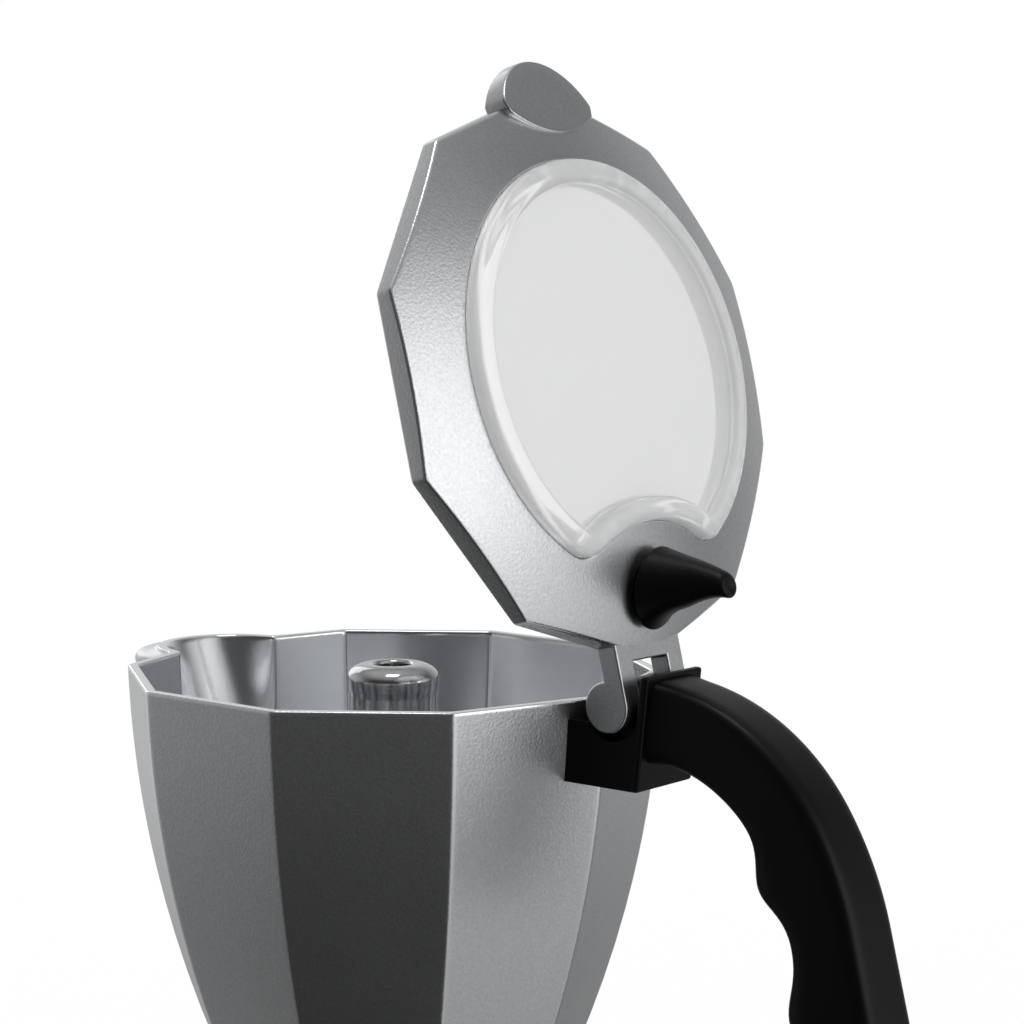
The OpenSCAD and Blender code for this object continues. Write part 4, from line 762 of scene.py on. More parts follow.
class LidForm:
    """Shapes that the lid's pieces share, drawn with the lid closed over the rim's plane."""

    def __init__(self, lid, rim_radius):
        self.lid = lid
        self.flat = rim_radius * math.cos(math.pi / SIDES)
        self.under = RIM_Z + lid.gap
        corner_top = self.under + lid.edge
        self.sphere = (rim_radius ** 2 + lid.dome ** 2) / (2 * lid.dome)
        self.centre_z = corner_top + lid.dome - self.sphere
        near = lid.window_radius - lid.lobe_radius
        self.far = lid.scallop_place + lid.scallop_radius
        self.joined = lid.scallop_radius + lid.lobe_radius
        self.lobe_x = (near ** 2 + self.far ** 2 - self.joined ** 2) / (2 * self.far)
        self.lobe_y = math.sqrt(near ** 2 - self.lobe_x ** 2)
        seat_depth = 1.7 * MM
        self.seat = self.dome(lid.window_radius) - seat_depth

    def dome(self, radius, grow=0.0):
        """Height of the dome at a distance from the lid's centre."""
        return self.centre_z + math.sqrt((self.sphere + grow) ** 2 - radius ** 2)

    def window(self, angle, inset):
        """Distance from the lid's centre to the window's outline, drawn in by an inset."""
        lid = self.lid
        turn = abs((angle + math.pi) % (2 * math.pi) - math.pi)
        if turn >= math.atan2(self.lobe_y, self.lobe_x):
            return lid.window_radius - inset
        scallop = lid.scallop_radius + inset
        share = scallop / self.joined
        touch = math.atan2(self.lobe_y * share, self.far + (self.lobe_x - self.far) * share)
        if turn >= touch:
            along = self.lobe_x * math.cos(turn) + self.lobe_y * math.sin(turn)
            rest = along ** 2 - self.lobe_x ** 2 - self.lobe_y ** 2 + (lid.lobe_radius - inset) ** 2
            return along + math.sqrt(max(rest, 0.0))
        along = self.far * math.cos(turn)
        return along - math.sqrt(max(along ** 2 - self.far ** 2 + scallop ** 2, 0.0))


def polar_ring(angles, radius_of, height_of):
    """A ring of points about the axis, whose height may follow the radius."""
    ring = []
    for angle in angles:
        radius = radius_of(angle)
        ring.append(Vector((radius * math.cos(angle), radius * math.sin(angle), height_of(radius))))
    return ring


class MOKA_OT_lid(bpy.types.Operator):
    """Builds the domed lid with its spout tab and hinge ears"""

    bl_idname = "moka.lid"
    bl_label = "Lid"

    def shell(self, context, form):
        """The dome with its window opening, its ten-sided edge and the ledge under the window."""
        lid = context.scene.moka_lid
        sharp = context.scene.moka_pot.edge_sharpness
        scallop_from, scallop_to, scallop_step = 324.0, 396.0, 0.75
        angles = facet_angles(context.scene.moka_studio.columns, scallop_from, scallop_to, scallop_step)
        under, seat = form.under, form.seat
        ledge, ledge_low, ledge_back = 3.0, seat - 2 * MM, -1.5
        border, border_round = form.flat - 5 * MM, 0.8 * MM

        def same(value):
            return lambda _: value

        def edge_at(shift):
            return lambda a: facet_radius(a, form.flat, sharp) + shift * MM

        def window_at(inset):
            return lambda a: form.window(a, inset * MM)

        def between(first, last, share):
            return lambda a: first(a) * (1 - share) + last(a) * share

        def below_dome(drop):
            return lambda r: form.dome(r) - drop * MM

        def within_dome(r):
            return form.dome(r, -lid.shell)

        opening = [
            (window_at(ledge), same(ledge_low)), (window_at(ledge), same(seat)),
            (window_at(-0.05), same(seat)), (window_at(-0.05), below_dome(0.3)),
            (window_at(-0.15), below_dome(0.08)),
        ]
        shares = (0.0, 0.08, 0.2, 0.35, 0.5, 0.65, 0.8, 0.92, 1.0)
        top = [(between(window_at(-0.4), edge_at(-0.7), share), form.dome) for share in shares]
        rim = [
            (edge_at(-0.3), below_dome(0.03)), (edge_at(-0.09), below_dome(0.16)),
            (edge_at(0), below_dome(0.45)), (edge_at(0), same(under + 0.4 * MM)),
            (edge_at(-0.1), same(under + 0.1 * MM)), (edge_at(-0.4), same(under)),
        ]
        inner_edge = same(border - border_round)
        hollow = [
            (same(border + 0.3 * MM), same(under)), (same(border), same(under + 0.3 * MM)),
            (same(border), lambda r: within_dome(r) - border_round), (inner_edge, within_dome),
        ]
        hollow += [(between(inner_edge, window_at(ledge_back), share), within_dome) for share in (0.35, 0.7)]
        hollow += [
            (window_at(ledge_back), lambda r: min(within_dome(r), seat)),
            (window_at(ledge_back), same(ledge_low)), (window_at(ledge), same(ledge_low)),
        ]
        bm, edge, _ = cast_mesh()
        rows = loft(bm, [polar_ring(angles, *station) for station in opening + top + rim + hollow])
        first_top = len(opening)
        # The edge mask paints a highlight on the window's edge and on the lid's rim.
        mark(rows[first_top - 1:first_top], edge, [0.7])
        mark(rows[first_top + len(top):], edge, [0.9, 1.0, 0.6, 0.3, 0.6])
        open_lid(bm, lid)
        finish_piece("lid_shell", bm, cast_aluminium(), "lid", ["lid_frame"])

    def tab(self, context, form):
        """The rounded tab over the spout."""
        lid = context.scene.moka_lid
        tip, half, run_out, run_in = 57.6 * MM, 12.8 * MM, 9.7 * MM, 4.4 * MM
        thickness, middle = 3.15 * MM, Vector((-51.0 * MM, 0, 0))
        out_r = (half ** 2 + run_out ** 2) / (2 * run_out)
        in_r = (half ** 2 + run_in ** 2) / (2 * run_in)

        def arc(centre_x, radius, start, count):
            reach = math.asin(half / radius)
            turns = [start + reach * (i / count * 2 - 1) for i in range(1, count)]
            return [Vector((centre_x + radius * math.cos(t), radius * math.sin(t), 0)) for t in turns]

        outline = arc(out_r - tip, out_r, math.pi, 26) + arc(run_out + run_in - tip - in_r, in_r, 0.0, 20)

        def under(_):
            return form.under

        def top(point):
            return form.under + thickness + (point.x + tip) * math.tan(lid.tab_slope)

        stations = [
            (0.0, under, 0.1), (0.97, under, 0.1), (1.0, under, 0.5), (1.0, top, -0.5), (0.992, top, -0.14),
            (0.97, top, 0.0), (0.6, top, 0.0), (0.25, top, 0.0), (0.0, top, 0.0),
        ]
        rings = []
        for share, face, lift in stations:
            moved = [middle + (point - middle) * share for point in outline]
            rings.append([Vector((point.x, point.y, face(point) + lift * MM)) for point in moved])
        bm, edge, _ = cast_mesh()
        rows = loft(bm, rings)
        # The edge mask paints a highlight round the tab's upper edge.
        mark(rows[3:6], edge, [0.4, 0.6, 0.4])
        open_lid(bm, lid)
        finish_piece("lid_tab", bm, cast_aluminium(), "lid")

    def ears(self, context, form):
        """The plate that ends in two ears with round knuckles."""
        lid = context.scene.moka_lid
        clear_of_shell, steps = 0.06 * MM, 32
        low, high = form.under + clear_of_shell, RIM_Z + lid.knuckle
        inner, outer, root, web = 5.0 * MM, 9.5 * MM, form.flat - 4 * MM, 52 * MM
        bm, _, _ = cast_mesh()
        outline = [(root, low), (root, high), (web, high), (web, low)]
        rows = plate(bm, outline, (-outer, -inner, inner, outer))
        foot = Vector((HINGE.x - math.sqrt(lid.knuckle ** 2 - (low - RIM_Z) ** 2), 0, low))
        last = math.atan2(foot.z - RIM_Z, foot.x - HINGE.x) - 2 * math.pi
        turns = [math.pi / 2 + (last - math.pi / 2) * i / steps for i in range(steps)]
        for first in (0, 2):
            web_corners = {rows[first][2], rows[first][3], rows[first + 1][2], rows[first + 1][3]}
            face = next(f for f in rows[first][2].link_faces if web_corners <= set(f.verts))
            middle = (low + high) / 2
            upper = [v.co.z > middle for v in face.verts]
            for turn in turns:
                face = bmesh.ops.extrude_discrete_faces(bm, faces=[face])["faces"][0]
                for vert, raised in zip(face.verts, upper):
                    vert.co.x = HINGE.x + lid.knuckle * math.cos(turn) if raised else foot.x
                    vert.co.z = RIM_Z + lid.knuckle * math.sin(turn) if raised else foot.z
        bmesh.ops.remove_doubles(bm, verts=bm.verts, dist=MERGE_DISTANCE)
        bmesh.ops.dissolve_limit(
            bm, angle_limit=math.radians(1), use_dissolve_boundaries=False, verts=bm.verts, edges=bm.edges)
        open_lid(bm, lid)
        rounding = (0.4 * MM, 3, 40)
        finish_piece("lid_ears", bm, cast_aluminium(), "lid", rounding=rounding)

    def execute(self, context):
        form = LidForm(context.scene.moka_lid, context.scene.moka_pot.rim_radius)
        self.shell(context, form)
        self.tab(context, form)
        self.ears(context, form)
        return {"FINISHED"}


class MOKA_OT_window(bpy.types.Operator):
    """Builds the clear window with its raised bead"""

    bl_idname = "moka.window"
    bl_label = "Window"

    def execute(self, context):
        lid = context.scene.moka_lid
        form = LidForm(lid, context.scene.moka_pot.rim_radius)
        seat = form.seat
        pane = seat + 3.5 * MM
        lobes_end, fine_step, coarse_step = 39, 0.75, 2
        turns = [fine_step * i - lobes_end for i in range(104)]
        turns += [lobes_end + coarse_step * i for i in range(141)]
        angles = [math.radians(turn) for turn in turns]
        over = [
            (0.0, 1.8), (0.04, 1.0), (0.3, 0.35), (0.9, 0.03), (1.6, 0.0), (2.5, 0.0), (3.2, 0.15),
            (3.75, 0.5), (4.05, 0.95),
        ]
        inner = [(4.3, 0.22), (4.5, 0.04), (4.75, 0.0)]
        under = [(4.55, 0.0), (4.25, 0.3), (4.25, 2.2), (4.0, 2.55), (3.3, 2.55), (3.05, 2.2), (3.05, 0.0)]

        def outline(inset, height_of):
            return polar_ring(angles, lambda a: form.window(a, inset * MM), height_of)

        def middle(inset, share, z):
            return polar_ring(angles, lambda a: form.window(a, inset * MM) * share, lambda r: z)

        rings = [middle(under[0][0], share, seat) for share in (0.0, 0.35, 0.75)]
        first = len(rings)
        rings += [outline(inset, lambda r, d=drop: seat - d * MM) for inset, drop in under]
        rings.append(outline(0.0, lambda r: seat))
        rings += [outline(inset, lambda r, d=drop: form.dome(r, lid.bead) - d * MM) for inset, drop in over]
        rings += [outline(inset, lambda r, h=rise: pane + h * MM) for inset, rise in inner]
        last = len(rings) - 1
        rings += [middle(inner[-1][0], share, pane) for share in (0.98, 0.75, 0.35, 0.0)]
        bm = bmesh.new()
        bead = bm.verts.layers.float.new("bead")
        rows = loft(bm, rings)
        # The bead mask paints the bead paler, as a highlight, and makes it duller.
        mark(rows[first + 1:last], bead, [1.0] * (last - first - 1))
        open_lid(bm, lid)
        finish_piece("window_pane", bm, window_plastic(), "lid", ["lid_window"])
        return {"FINISHED"}


class MOKA_OT_knob(bpy.types.Operator):
    """Builds the thumb knob"""

    bl_idname = "moka.knob"
    bl_label = "Knob"

    def execute(self, context):
        lid = context.scene.moka_lid
        form = LidForm(lid, context.scene.moka_pot.rim_radius)
        foot = form.dome(lid.knob_place) + lid.knob_lift
        tip_r, neck_r, neck_low, neck_top = 2.3 * MM, 5.4 * MM, 4 * MM, 0.9 * MM
        lean, lean_power, taper_power, slope = 2.4 * MM, 3.4, 1.35, math.tan(math.radians(18))
        flare, flare_run, hollow, hollow_run = 0.45 * MM, 0.04, 0.5 * MM, 0.4
        turns = [2 * math.pi * i / 64 for i in range(64)]
        shares = [
            0.0, 0.012, 0.03, 0.06, 0.1, 0.15, 0.21, 0.28, 0.36, 0.45, 0.54, 0.63, 0.72, 0.8, 0.87, 0.92,
            0.95,
        ]
        profile = [(s, tip_r + (lid.knob_radius - tip_r) * (1 - s) ** taper_power) for s in shares]
        tip = [
            (0.975, 0.97), (0.99, 0.86), (0.998, 0.72), (1.0, 0.58), (0.993, 0.5), (0.985, 0.44),
            (0.985, 0.0),
        ]
        profile += [(share, tip_r * part) for share, part in tip]

        def level(radius, z, tilt):
            flat = [(radius * math.cos(turn), radius * math.sin(turn)) for turn in turns]
            return [Vector((lid.knob_place + x, y, z - tilt * x)) for x, y in flat]

        rings = [level(0.0, foot - neck_low, 0.0), level(neck_r, foot - neck_low, 0.0)]
        rings += [level(neck_r, foot - neck_top, slope)]
        rings += [level(lid.knob_radius - 0.35 * MM, foot - 0.3 * MM, slope)]
        for share, radius in profile:
            near_side = flare * math.exp(-share / flare_run)
            near_side -= hollow * math.sin(math.pi * min(1.0, share / hollow_run))
            ring = []
            for turn in turns:
                reach = radius + max(0.0, math.cos(turn)) * near_side
                x = lid.knob_place + lean * share ** lean_power + reach * math.cos(turn)
                z = foot + lid.knob_height * share - slope * (1 - share) * reach * math.cos(turn)
                ring.append(Vector((x, reach * math.sin(turn), z)))
            rings.append(ring)
        bm = bmesh.new()
        loft(bm, rings)
        open_lid(bm, lid)
        finish_piece("thumb_knob", bm, handle_plastic(), "lid", ["lid_knob"])
        return {"FINISHED"}


class MOKA_OT_handle(bpy.types.Operator):
    """Builds the handle with its hinge block, flange and grip"""

    bl_idname = "moka.handle"
    bl_label = "Handle"

    def block(self, handle):
        """The hinge block, hollow beside its tongue for the lid's knuckles."""
        half, low, shoulder = handle.half_width, RIM_Z - handle.block_depth, RIM_Z - handle.shoulder
        pocket, knuckle, tongue_half, wall_x = 6.3 * MM, 4.3 * MM, 4.7 * MM, 50.5 * MM
        back_x = HINGE.x + handle.flange_place - 0.2 * MM
        foot_x = back_x - handle.flange_lean / 2
        dip = math.asin(handle.shoulder / pocket)

        def arc(radius, start, sweep, steps=16):
            turns = [start + sweep * i / steps for i in range(steps + 1)]
            return [(HINGE.x + radius * math.cos(t), RIM_Z + radius * math.sin(t)) for t in turns]

        hollow = arc(pocket, math.pi + dip, math.pi - 2 * dip)
        hollow = [(hollow[0][0], shoulder), *hollow, (hollow[-1][0], shoulder)]
        tongue = arc(knuckle, math.pi, -math.pi)
        tongue = [(HINGE.x - knuckle, shoulder), *tongue, (HINGE.x + knuckle, shoulder)]
        stations = [
            (-half, hollow), (-tongue_half, hollow), (-tongue_half, tongue), (0.0, tongue),
            (tongue_half, tongue), (tongue_half, hollow), (half, hollow),
        ]
        rings = []
        for y, upper in stations:
            front = wall_x - abs(y) * math.tan(math.pi / SIDES)
            outline = [(foot_x, low), (front, low), (front, shoulder), *upper, (back_x, shoulder)]
            rings.append([Vector((x, y, z)) for x, z in outline])
        bm = bmesh.new()
        rows = loft(bm, rings)
        bm.faces.new(rows[0][::-1])
        bm.faces.new(rows[-1])
        rounding = (0.45 * MM, 3, 50)
        finish_piece("handle_block", bm, handle_plastic(), "upper", rounding=rounding)

    def flange(self, handle):
        """The leaning flange between the block and the grip."""
        low, high = RIM_Z - handle.block_depth, RIM_Z + 6 * MM
        face_x, thick = HINGE.x + handle.flange_place, handle.flange_thickness
        foot_x = face_x - handle.flange_lean
        outline = [(foot_x, low), (face_x, high), (face_x + thick, high), (foot_x + thick, low)]
        bm = bmesh.new()
        plate(bm, outline, (-handle.flange_half, handle.flange_half))
        rounding = (0.6 * MM, 4, 40)
        finish_piece("handle_flange", bm, handle_plastic(), "upper", rounding=rounding)

    def grip(self, handle):
        """The bent grip with its finger ridges and round end."""
        bend, sweep = handle.bend_radius * handle.bend_turn, handle.sweep_radius * handle.sweep_turn
        root, end = handle.root_length, handle.grip_end_depth / 2
        length = root + bend + sweep + handle.grip_straight
        ridges = (handle.ridge_first, handle.ridge_first + handle.ridge_pitch)
        start = Vector((HINGE.x + handle.flange_place - 1 * MM, 0, RIM_Z - handle.grip_drop))
        width, widening, ridge_run, corner_power = 12.8 * MM, 1.8 * MM, 6.8 * MM, 0.36
        swell_from, swell_run, swell_under, swell_side = 1.5 * MM, 2.6 * MM, 1.2 * MM, 0.9 * MM
        along, around_end, across = 84, 10, 64

        def ahead(slope):
            return Vector((math.cos(slope), 0, -math.sin(slope)))

        def outward(slope):
            return Vector((math.sin(slope), 0, math.cos(slope)))

        def arc(radius, before, after):
            return radius * (outward(after) - outward(before))

        def squared(value):
            return math.copysign(abs(value) ** corner_power, value)

        def part(distance, run):
            return min(max(distance / run, 0.0), 1.0)

        distances = [length * i / along for i in range(along + 1)]
        distances += [length + end * math.sin(math.pi / 2 * i / around_end) for i in range(1, around_end + 1)]
        turns = [2 * math.pi * j / across for j in range(across)]
        rings = []
        for s in distances:
            share = min(1.0, s / length)
            taper = math.sqrt(1 - part(s - length, end) ** 2)
            first = handle.root_slope + part(s - root, bend) * handle.bend_turn
            slope = first + part(s - root - bend, sweep) * handle.sweep_turn
            place = start + min(s, root) * ahead(handle.root_slope)
            place += arc(handle.bend_radius, handle.root_slope, first)
            place += arc(handle.sweep_radius, first, slope)
            place += max(0.0, s - root - bend - sweep) * ahead(slope)
            outer = taper * (handle.grip_depth + (handle.grip_end_depth - handle.grip_depth) * share) / 2
            ridge = handle.ridge_height * sum(math.exp(-((s - p) / ridge_run) ** 2) for p in ridges)
            swell = math.exp(-max(0.0, s - swell_from) / swell_run)
            inner = outer + taper * ridge + swell * swell_under
            half = taper * (width + widening * share) / 2 + swell * swell_side
            ring = []
            for turn in turns:
                reach, side = squared(math.cos(turn)), squared(math.sin(turn))
                depth = reach * (outer if reach > 0 else inner)
                ring.append(place + depth * outward(slope) + Vector((0, side * half, 0)))
            rings.append(ring)
        bm = bmesh.new()
        rows = loft(bm, rings)
        bm.faces.new(rows[0][::-1])
        finish_piece("handle_grip", bm, handle_plastic(), "upper", ["handle"])

    def execute(self, context):
        handle = context.scene.moka_handle
        self.block(handle)
        self.flange(handle)
        self.grip(handle)
        return {"FINISHED"}


class MOKA_OT_boiler(bpy.types.Operator):
    """Builds the ten-sided boiler with its threaded neck"""

    bl_idname = "moka.boiler"
    bl_label = "Boiler"

    def execute(self, context):
        pot = context.scene.moka_pot
        angles = facet_angles(context.scene.moka_studio.columns, 0.0, 0.5, 0.25)
        low, shoulder, neck_r = BOILER_Z, BOILER_Z + 67 * MM, pot.neck_radius
        inside_top, inside_r, floor_z, wall = shoulder - 3 * MM, 28.4 * MM, BOILER_Z + 5 * MM, 3 * MM
        widest, pan_r = 4 * MM, 30 * MM
        thread_first, thread_pitch, thread_depth = 2 * MM, 4 * MM, 0.8 * MM
        centre = pot.boiler_flat - math.sqrt(pot.boiler_bow ** 2 - widest ** 2)

        def ring(z, inset=0.0, shift=0.0):
            flat = centre + math.sqrt((pot.boiler_bow - inset) ** 2 - (z - low - widest) ** 2)
            return polar_ring(
                angles, lambda a: facet_radius(a, flat, pot.edge_sharpness) + shift, lambda r: z)

        def lathe(radius, z):
            return polar_ring(angles, lambda a: radius, lambda r: z)

        foot = [
            lathe(0.0, low), lathe(pan_r, low), ring(low, shift=-0.5 * MM),
            ring(low + 0.15 * MM, shift=-0.12 * MM), ring(low + 0.5 * MM),
        ]
        heights = [4, 10, 16, 22, 28, 34, 40, 46, 52, 57, 61, 64, 65.6]
        side = [ring(low + height * MM) for height in heights]
        neck = [
            ring(shoulder - 0.6 * MM, shift=-0.15 * MM), ring(shoulder - 0.15 * MM, shift=-0.6 * MM),
            ring(shoulder, shift=-1.4 * MM), lathe(neck_r + 0.3 * MM, shoulder),
            lathe(neck_r, shoulder + 0.3 * MM),
        ]
        groove = [(0.0, 0.0), (thread_depth, 0.6 * MM), (thread_depth, 1.8 * MM), (0.0, 2.4 * MM)]
        for start in (shoulder + thread_first + thread_pitch * k for k in range(2)):
            neck += [lathe(neck_r - draw, start + rise) for draw, rise in groove]
        neck += [
            lathe(neck_r, NECK_TOP_Z - 0.5 * MM), lathe(neck_r - 0.4 * MM, NECK_TOP_Z),
            lathe(inside_r + 0.4 * MM, NECK_TOP_Z), lathe(inside_r, NECK_TOP_Z - 0.4 * MM),
        ]
        inside = [lathe(inside_r, inside_top), ring(inside_top, wall, -1.5 * MM)]
        inside += [ring(low + height * MM, wall) for height in (60, 46, 30, 14, 6)]
        inside += [lathe(pan_r, floor_z), lathe(0.0, floor_z)]
        bm, edge, _ = cast_mesh()
        rows = loft(bm, foot + side + neck + inside)
        # The edge mask paints a highlight on the facet corners.
        corners = [0.75 * corner_mask(a) for a in angles]
        mark(rows[len(foot) - 2:len(foot) + len(side) + 2], edge, [corners] * (len(side) + 4))
        finish_piece("boiler_shell", bm, cast_aluminium(), "pot", ["boiler"])
        return {"FINISHED"}


class MOKA_OT_switch(bpy.types.Operator):
    """Builds the rocker with its on and off signs"""

    bl_idname = "moka.switch"
    bl_label = "Switch"

    def execute(self, context):
        half_w, face, reach = 5.4 * MM, 3.4 * MM, 7.43 * MM
        back, back_reach, swell, steps = -3 * MM, 5.2 * MM, 0.5 * MM, 6
        outline = [(back, -back_reach), (0.0, -reach), (face, -reach)]
        for along in (i / steps - 1 for i in range(1, 2 * steps)):
            outline.append((face + swell * (1 - along ** 2), along * reach * 0.98))
        outline += [(face, reach), (0.0, reach), (back, back_reach)]
        bm = bmesh.new()
        plate(bm, outline, (-half_w, half_w))
        self.to_axle(bm)
        gloss = plastic("gloss black plastic", (0.012, 0.012, 0.012), 0.18, 2600.0, 0.00001, coat=0.3)
        rounding = (0.35 * MM, 3, 40)
        finish_piece(
            "switch_rocker_cap", bm, gloss, "switch_rocker", ["rocker"], rounding=rounding)
        for label, along in (("on", 0.52), ("off", -0.52)):
            bm = bmesh.new()
            self.sign(bm, label)
            self.turn(bm, math.atan(-along * 2 * swell / reach))
            proud = face + swell * (1 - along ** 2) + 0.01 * MM
            bmesh.ops.translate(bm, verts=bm.verts, vec=(proud, 0, along * reach))
            self.to_axle(bm)
            name = f"switch_sign_{label}"
            finish_piece(name, bm, sign_paint(), "switch_rocker", smooth=False)
        return {"FINISHED"}

    def turn(self, bm, angle):
        """Turns a mesh about the Y axis."""
        bmesh.ops.rotate(bm, verts=bm.verts, cent=(0, 0, 0), matrix=Matrix.Rotation(angle, 3, "Y"))

    def to_axle(self, bm):
        """Tilts a mesh to the switch's off side and moves it to the axle."""
        self.turn(bm, math.radians(-8))
        bmesh.ops.translate(bm, verts=bm.verts, vec=Vector(JOINTS["switch_rock"]["pos_m"]))

    def sign(self, bm, label):
        """A bar for on or a ring for off, lying on the rocker's face."""
        if label == "on":
            bmesh.ops.create_cube(bm, size=1.0)
            bmesh.ops.scale(bm, verts=bm.verts, vec=(0.12 * MM, 0.5 * MM, 2.6 * MM))
        else:
            inner, outer, half = 1.05 * MM, 1.55 * MM, 0.06 * MM
            profile = [(inner, -half), (outer, -half), (outer, half), (inner, half), (inner, -half)]
            loft(bm, lathe_rings(profile, 48))
            self.turn(bm, math.pi / 2)


class MOKA_OT_finishes(bpy.types.Operator):
    """Gives each solid that stays as it is its finish"""

    bl_idname = "moka.finishes"
    bl_label = "Finishes"

    def execute(self, context):
        lamp = clear_plastic("red lamp plastic", (0.75, 0.05, 0.03), 0.12)
        leads = plastic("lead insulation", (0.42, 0.05, 0.035), 0.5, 1500.0, 0.00003)
        silicone = plastic("silicone", (0.75, 0.72, 0.66), 0.55, 1500.0, 0.00004)
        ceramic = plastic("fuse body", (0.7, 0.67, 0.6), 0.5, 1800.0, 0.00003)
        steel, brass, sheet = plated_steel(), valve_brass(), sheet_aluminium()
        control, casing, pad = control_plastic(), housing_plastic(), rubber()
        wanted = {
            "handle_screw": steel, "hinge_pin": steel, "knob_screw": steel, "gasket": silicone,
            "filter_plate": sheet, "funnel": sheet, "valve_body": brass, "valve_cap": brass,
            "valve_pin": brass, "valve_spring": steel, "heater_plate": sheet, "heater_tube": heater_steel(),
            "thermostat": control, "thermostat_screws": steel, "thermal_fuse": ceramic, "housing": casing,
            "housing_screws": steel, "switch_body": control, "indicator_lamp": lamp, "bottom_cover": casing,
            "cover_screws": steel, "pot_connector": control, "leads": leads, "base_shell": casing,
            "base_plate": casing, "base_screws": steel, "base_connector": control, "cord_gland": pad,
            "anti_slip_pad": pad,
        }
        for name, material in wanted.items():
            slots = frame["nodes"][name].material_slots
            for slot in slots:
                slot.material = material
            if not len(slots):
                raise RuntimeError(f"{name} has no material slot")
        return {"FINISHED"}


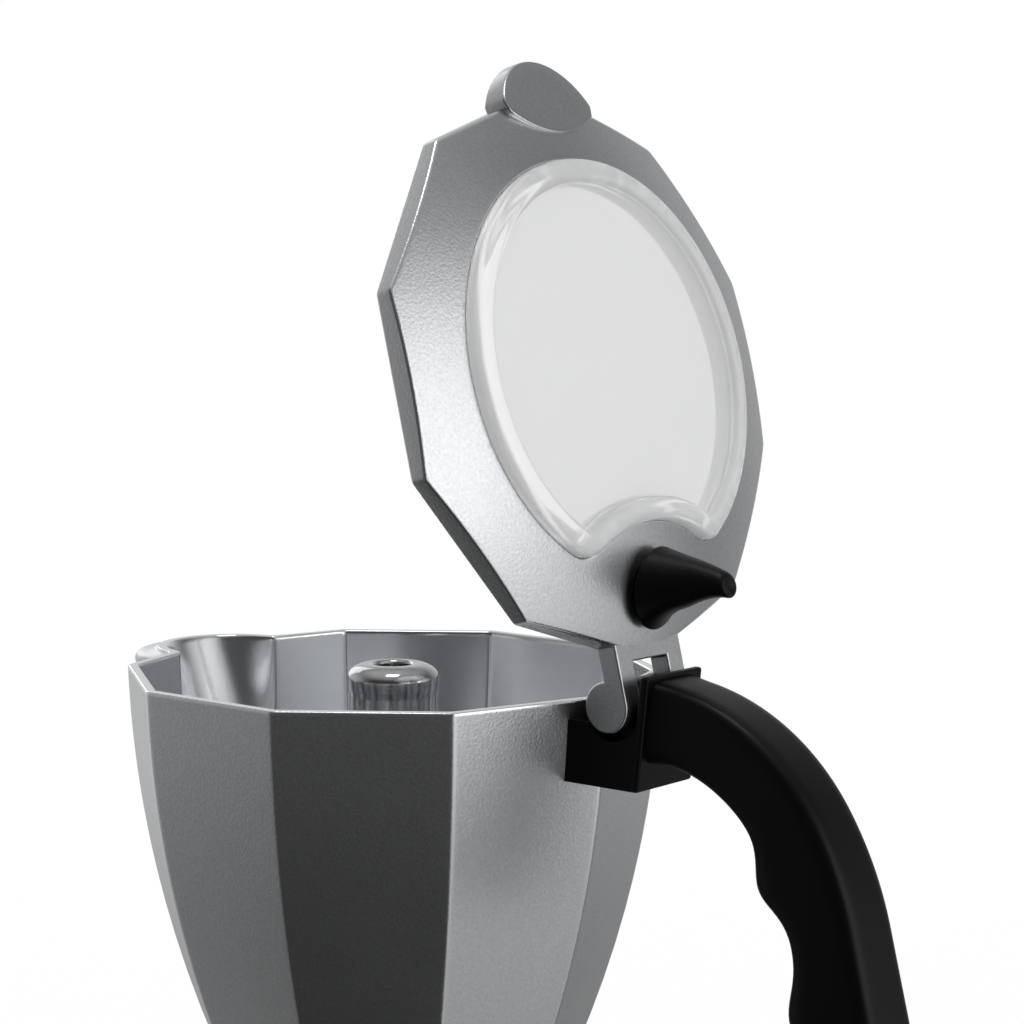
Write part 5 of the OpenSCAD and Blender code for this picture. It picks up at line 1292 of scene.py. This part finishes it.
class MOKA_OT_stage(bpy.types.Operator):
    """Sets up the floor, the backdrop's light, the lamps and the camera"""

    bl_idname = "moka.stage"
    bl_label = "Stage"

    def surround(self, tree, direction):
        """Brightness that metal mirrors from each side: a bright card, a pale backdrop, the rest dark."""
        darkest, card, backdrop = 0.07, (12, 0.6, 0.98, 0.78), (150, -0.3, 1.0, 0.6)
        height = vector_math(tree, "DOT_PRODUCT", direction, UP)
        fading = ramp_between(tree, height, 1.0, 0.25, 0.35, 0.75, "SMOOTHSTEP")
        total = 0.0
        for azimuth, start, end, strength in (card, backdrop):
            turn = math.radians(azimuth)
            facing = vector_math(tree, "DOT_PRODUCT", direction, (math.cos(turn), math.sin(turn), 0.0))
            lobe = ramp_between(tree, facing, 0.0, strength, start, end, "SMOOTHSTEP")
            total = math_node(tree, "ADD", lobe, total)
        return math_node(tree, "ADD", math_node(tree, "MULTIPLY", total, fading), darkest)

    def floor(self):
        """A round sheet of paper that shows white and gives metal the surround to mirror."""
        bm = bmesh.new()
        bmesh.ops.create_circle(bm, cap_ends=True, segments=96, radius=6.0)
        mesh = bpy.data.meshes.new("studio_floor")
        bm.to_mesh(mesh)
        bm.free()
        material, tree, surface = new_material("studio paper")
        dress(tree, surface, {"Base Color": (0.8, 0.8, 0.8), "Roughness": 0.9})
        place = tree.nodes.new("ShaderNodeTexCoord").outputs["Object"]
        away = vector_math(tree, "LENGTH", place)
        far = ramp_between(tree, away, 0.0, 1.0, 0.05, 0.9, "SMOOTHSTEP")
        around = self.surround(tree, vector_math(tree, "NORMALIZE", place))
        mirrored = tree.nodes.new("ShaderNodeEmission")
        strength = math_node(tree, "MULTIPLY", around, ramp_between(tree, far, 0.5, 1.0))
        dress(tree, mirrored, {"Strength": strength})
        white = add(tree, "ShaderNodeEmission", strength=1.0)
        path = tree.nodes.new("ShaderNodeLightPath")
        seen = math_node(tree, "MAXIMUM", path.outputs["Is Camera Ray"], path.outputs["Is Transmission Ray"])
        share = math_node(tree, "MULTIPLY", seen, ramp_between(tree, far, 0.8, 1.0))
        result = surface.outputs[0]
        for factor, shader in ((path.outputs["Is Glossy Ray"], mirrored), (share, white)):
            mix = tree.nodes.new("ShaderNodeMixShader")
            for socket, value in zip(mix.inputs, (factor, result, shader.outputs[0])):
                tree.links.new(value, socket)
            result = mix.outputs[0]
        tree.links.new(result, tree.nodes["Material Output"].inputs["Surface"])
        mesh.materials.append(material)
        floor = bpy.data.objects.new("studio_floor", mesh)
        bpy.context.scene.collection.objects.link(floor)

    def world(self, scene):
        """White to the camera, the surround and a pale sky to metal, and an even fill to the rest."""
        world = bpy.data.worlds.new("studio")
        scene.world = world
        world.use_nodes = True
        tree = world.node_tree
        place = tree.nodes.new("ShaderNodeTexCoord").outputs["Generated"]
        overhead = vector_math(tree, "DOT_PRODUCT", place, UP)
        sky = ramp_between(tree, overhead, 0.0, 0.4, 0.45, 1.0, "SMOOTHSTEP")
        around = math_node(tree, "ADD", self.surround(tree, place), sky)
        path = tree.nodes.new("ShaderNodeLightPath")
        seen = math_node(tree, "MAXIMUM", path.outputs["Is Camera Ray"], path.outputs["Is Transmission Ray"])
        fill = math_node(tree, "MULTIPLY", path.outputs["Is Diffuse Ray"], 0.7)
        strength = math_node(tree, "MAXIMUM", math_node(tree, "ADD", around, fill), seen)
        dress(tree, tree.nodes["Background"], {"Color": (1.0, 1.0, 1.0), "Strength": strength})

    def lamp(self, name, azimuth, elevation, distance, size, power):
        data = bpy.data.lights.new(name, "AREA")
        data.shape = "RECTANGLE"
        data.size, data.size_y = size
        data.energy = power
        lamp = bpy.data.objects.new(name, data)
        turn, rise = math.radians(azimuth), math.radians(elevation)
        aim = Vector((0, 0, 0.19))
        away = Vector((math.cos(turn) * math.cos(rise), math.sin(turn) * math.cos(rise), math.sin(rise)))
        lamp.location = aim + away * distance
        lamp.rotation_euler = (-away).to_track_quat("-Z", "Y").to_euler()
        bpy.context.scene.collection.objects.link(lamp)

    def camera(self, scene, studio):
        data = bpy.data.cameras.new("camera")
        data.sensor_width = 36.0
        data.lens = studio.focal
        data.clip_start = 0.01
        camera = bpy.data.objects.new("camera", data)
        look = Vector((
            math.sin(studio.yaw) * math.cos(studio.pitch), math.cos(studio.yaw) * math.cos(studio.pitch),
            -math.sin(studio.pitch)))
        camera.location = (0.33249, -0.36525, RIM_Z + 0.08034)
        camera.rotation_euler = look.to_track_quat("-Z", "Y").to_euler()
        scene.collection.objects.link(camera)
        scene.camera = camera

    def execute(self, context):
        scene, studio = context.scene, context.scene.moka_studio
        scene.view_settings.view_transform = "Standard"
        self.floor()
        self.world(scene)
        self.lamp("key_softbox", 8, 15, 1.3, (0.8, 0.9), studio.key_power)
        self.lamp("back_softbox", 158, 22, 1.5, (0.7, 0.9), studio.key_power * 0.8)
        self.lamp("top_softbox", 300, 84, 1.2, (0.36, 0.36), studio.key_power)
        self.camera(scene, studio)
        return {"FINISHED"}


class MOKA_PT_panel(bpy.types.Panel):
    """Lists the pieces of the pot and its studio"""

    bl_label = "Moka Pot"
    bl_idname = "MOKA_PT_panel"
    bl_space_type = "VIEW_3D"
    bl_region_type = "UI"
    bl_category = "Moka Pot"

    def draw(self, context):
        for operator in OPERATORS:
            self.layout.operator(operator.bl_idname)
        for name in SETTINGS:
            group = getattr(context.scene, name)
            box = self.layout.box()
            for key in group.__annotations__:
                box.prop(group, key)


SETTINGS = {
    "moka_pot": PotShape, "moka_lid": LidShape, "moka_handle": HandleShape, "moka_finish": PotFinish,
    "moka_studio": Studio,
}
OPERATORS = (
    MOKA_OT_collector, MOKA_OT_column, MOKA_OT_lid, MOKA_OT_window, MOKA_OT_knob, MOKA_OT_handle,
    MOKA_OT_boiler, MOKA_OT_switch, MOKA_OT_finishes, MOKA_OT_stage,
)
CLASSES = (*SETTINGS.values(), *OPERATORS, MOKA_PT_panel)


def register():
    """Adds the classes and the settings to Blender."""
    for cls in CLASSES:
        bpy.utils.register_class(cls)
    for name, group in SETTINGS.items():
        setattr(bpy.types.Scene, name, PointerProperty(type=group))


def unregister():
    """Takes the settings and the classes away again."""
    for name in SETTINGS:
        delattr(bpy.types.Scene, name)
    for cls in reversed(CLASSES):
        bpy.utils.unregister_class(cls)


def main():
    """Builds the pot and its studio."""
    register()
    for operator in OPERATORS:
        category, name = operator.bl_idname.split(".")
        getattr(getattr(bpy.ops, category), name)()


if __name__ == "__main__":
    main()
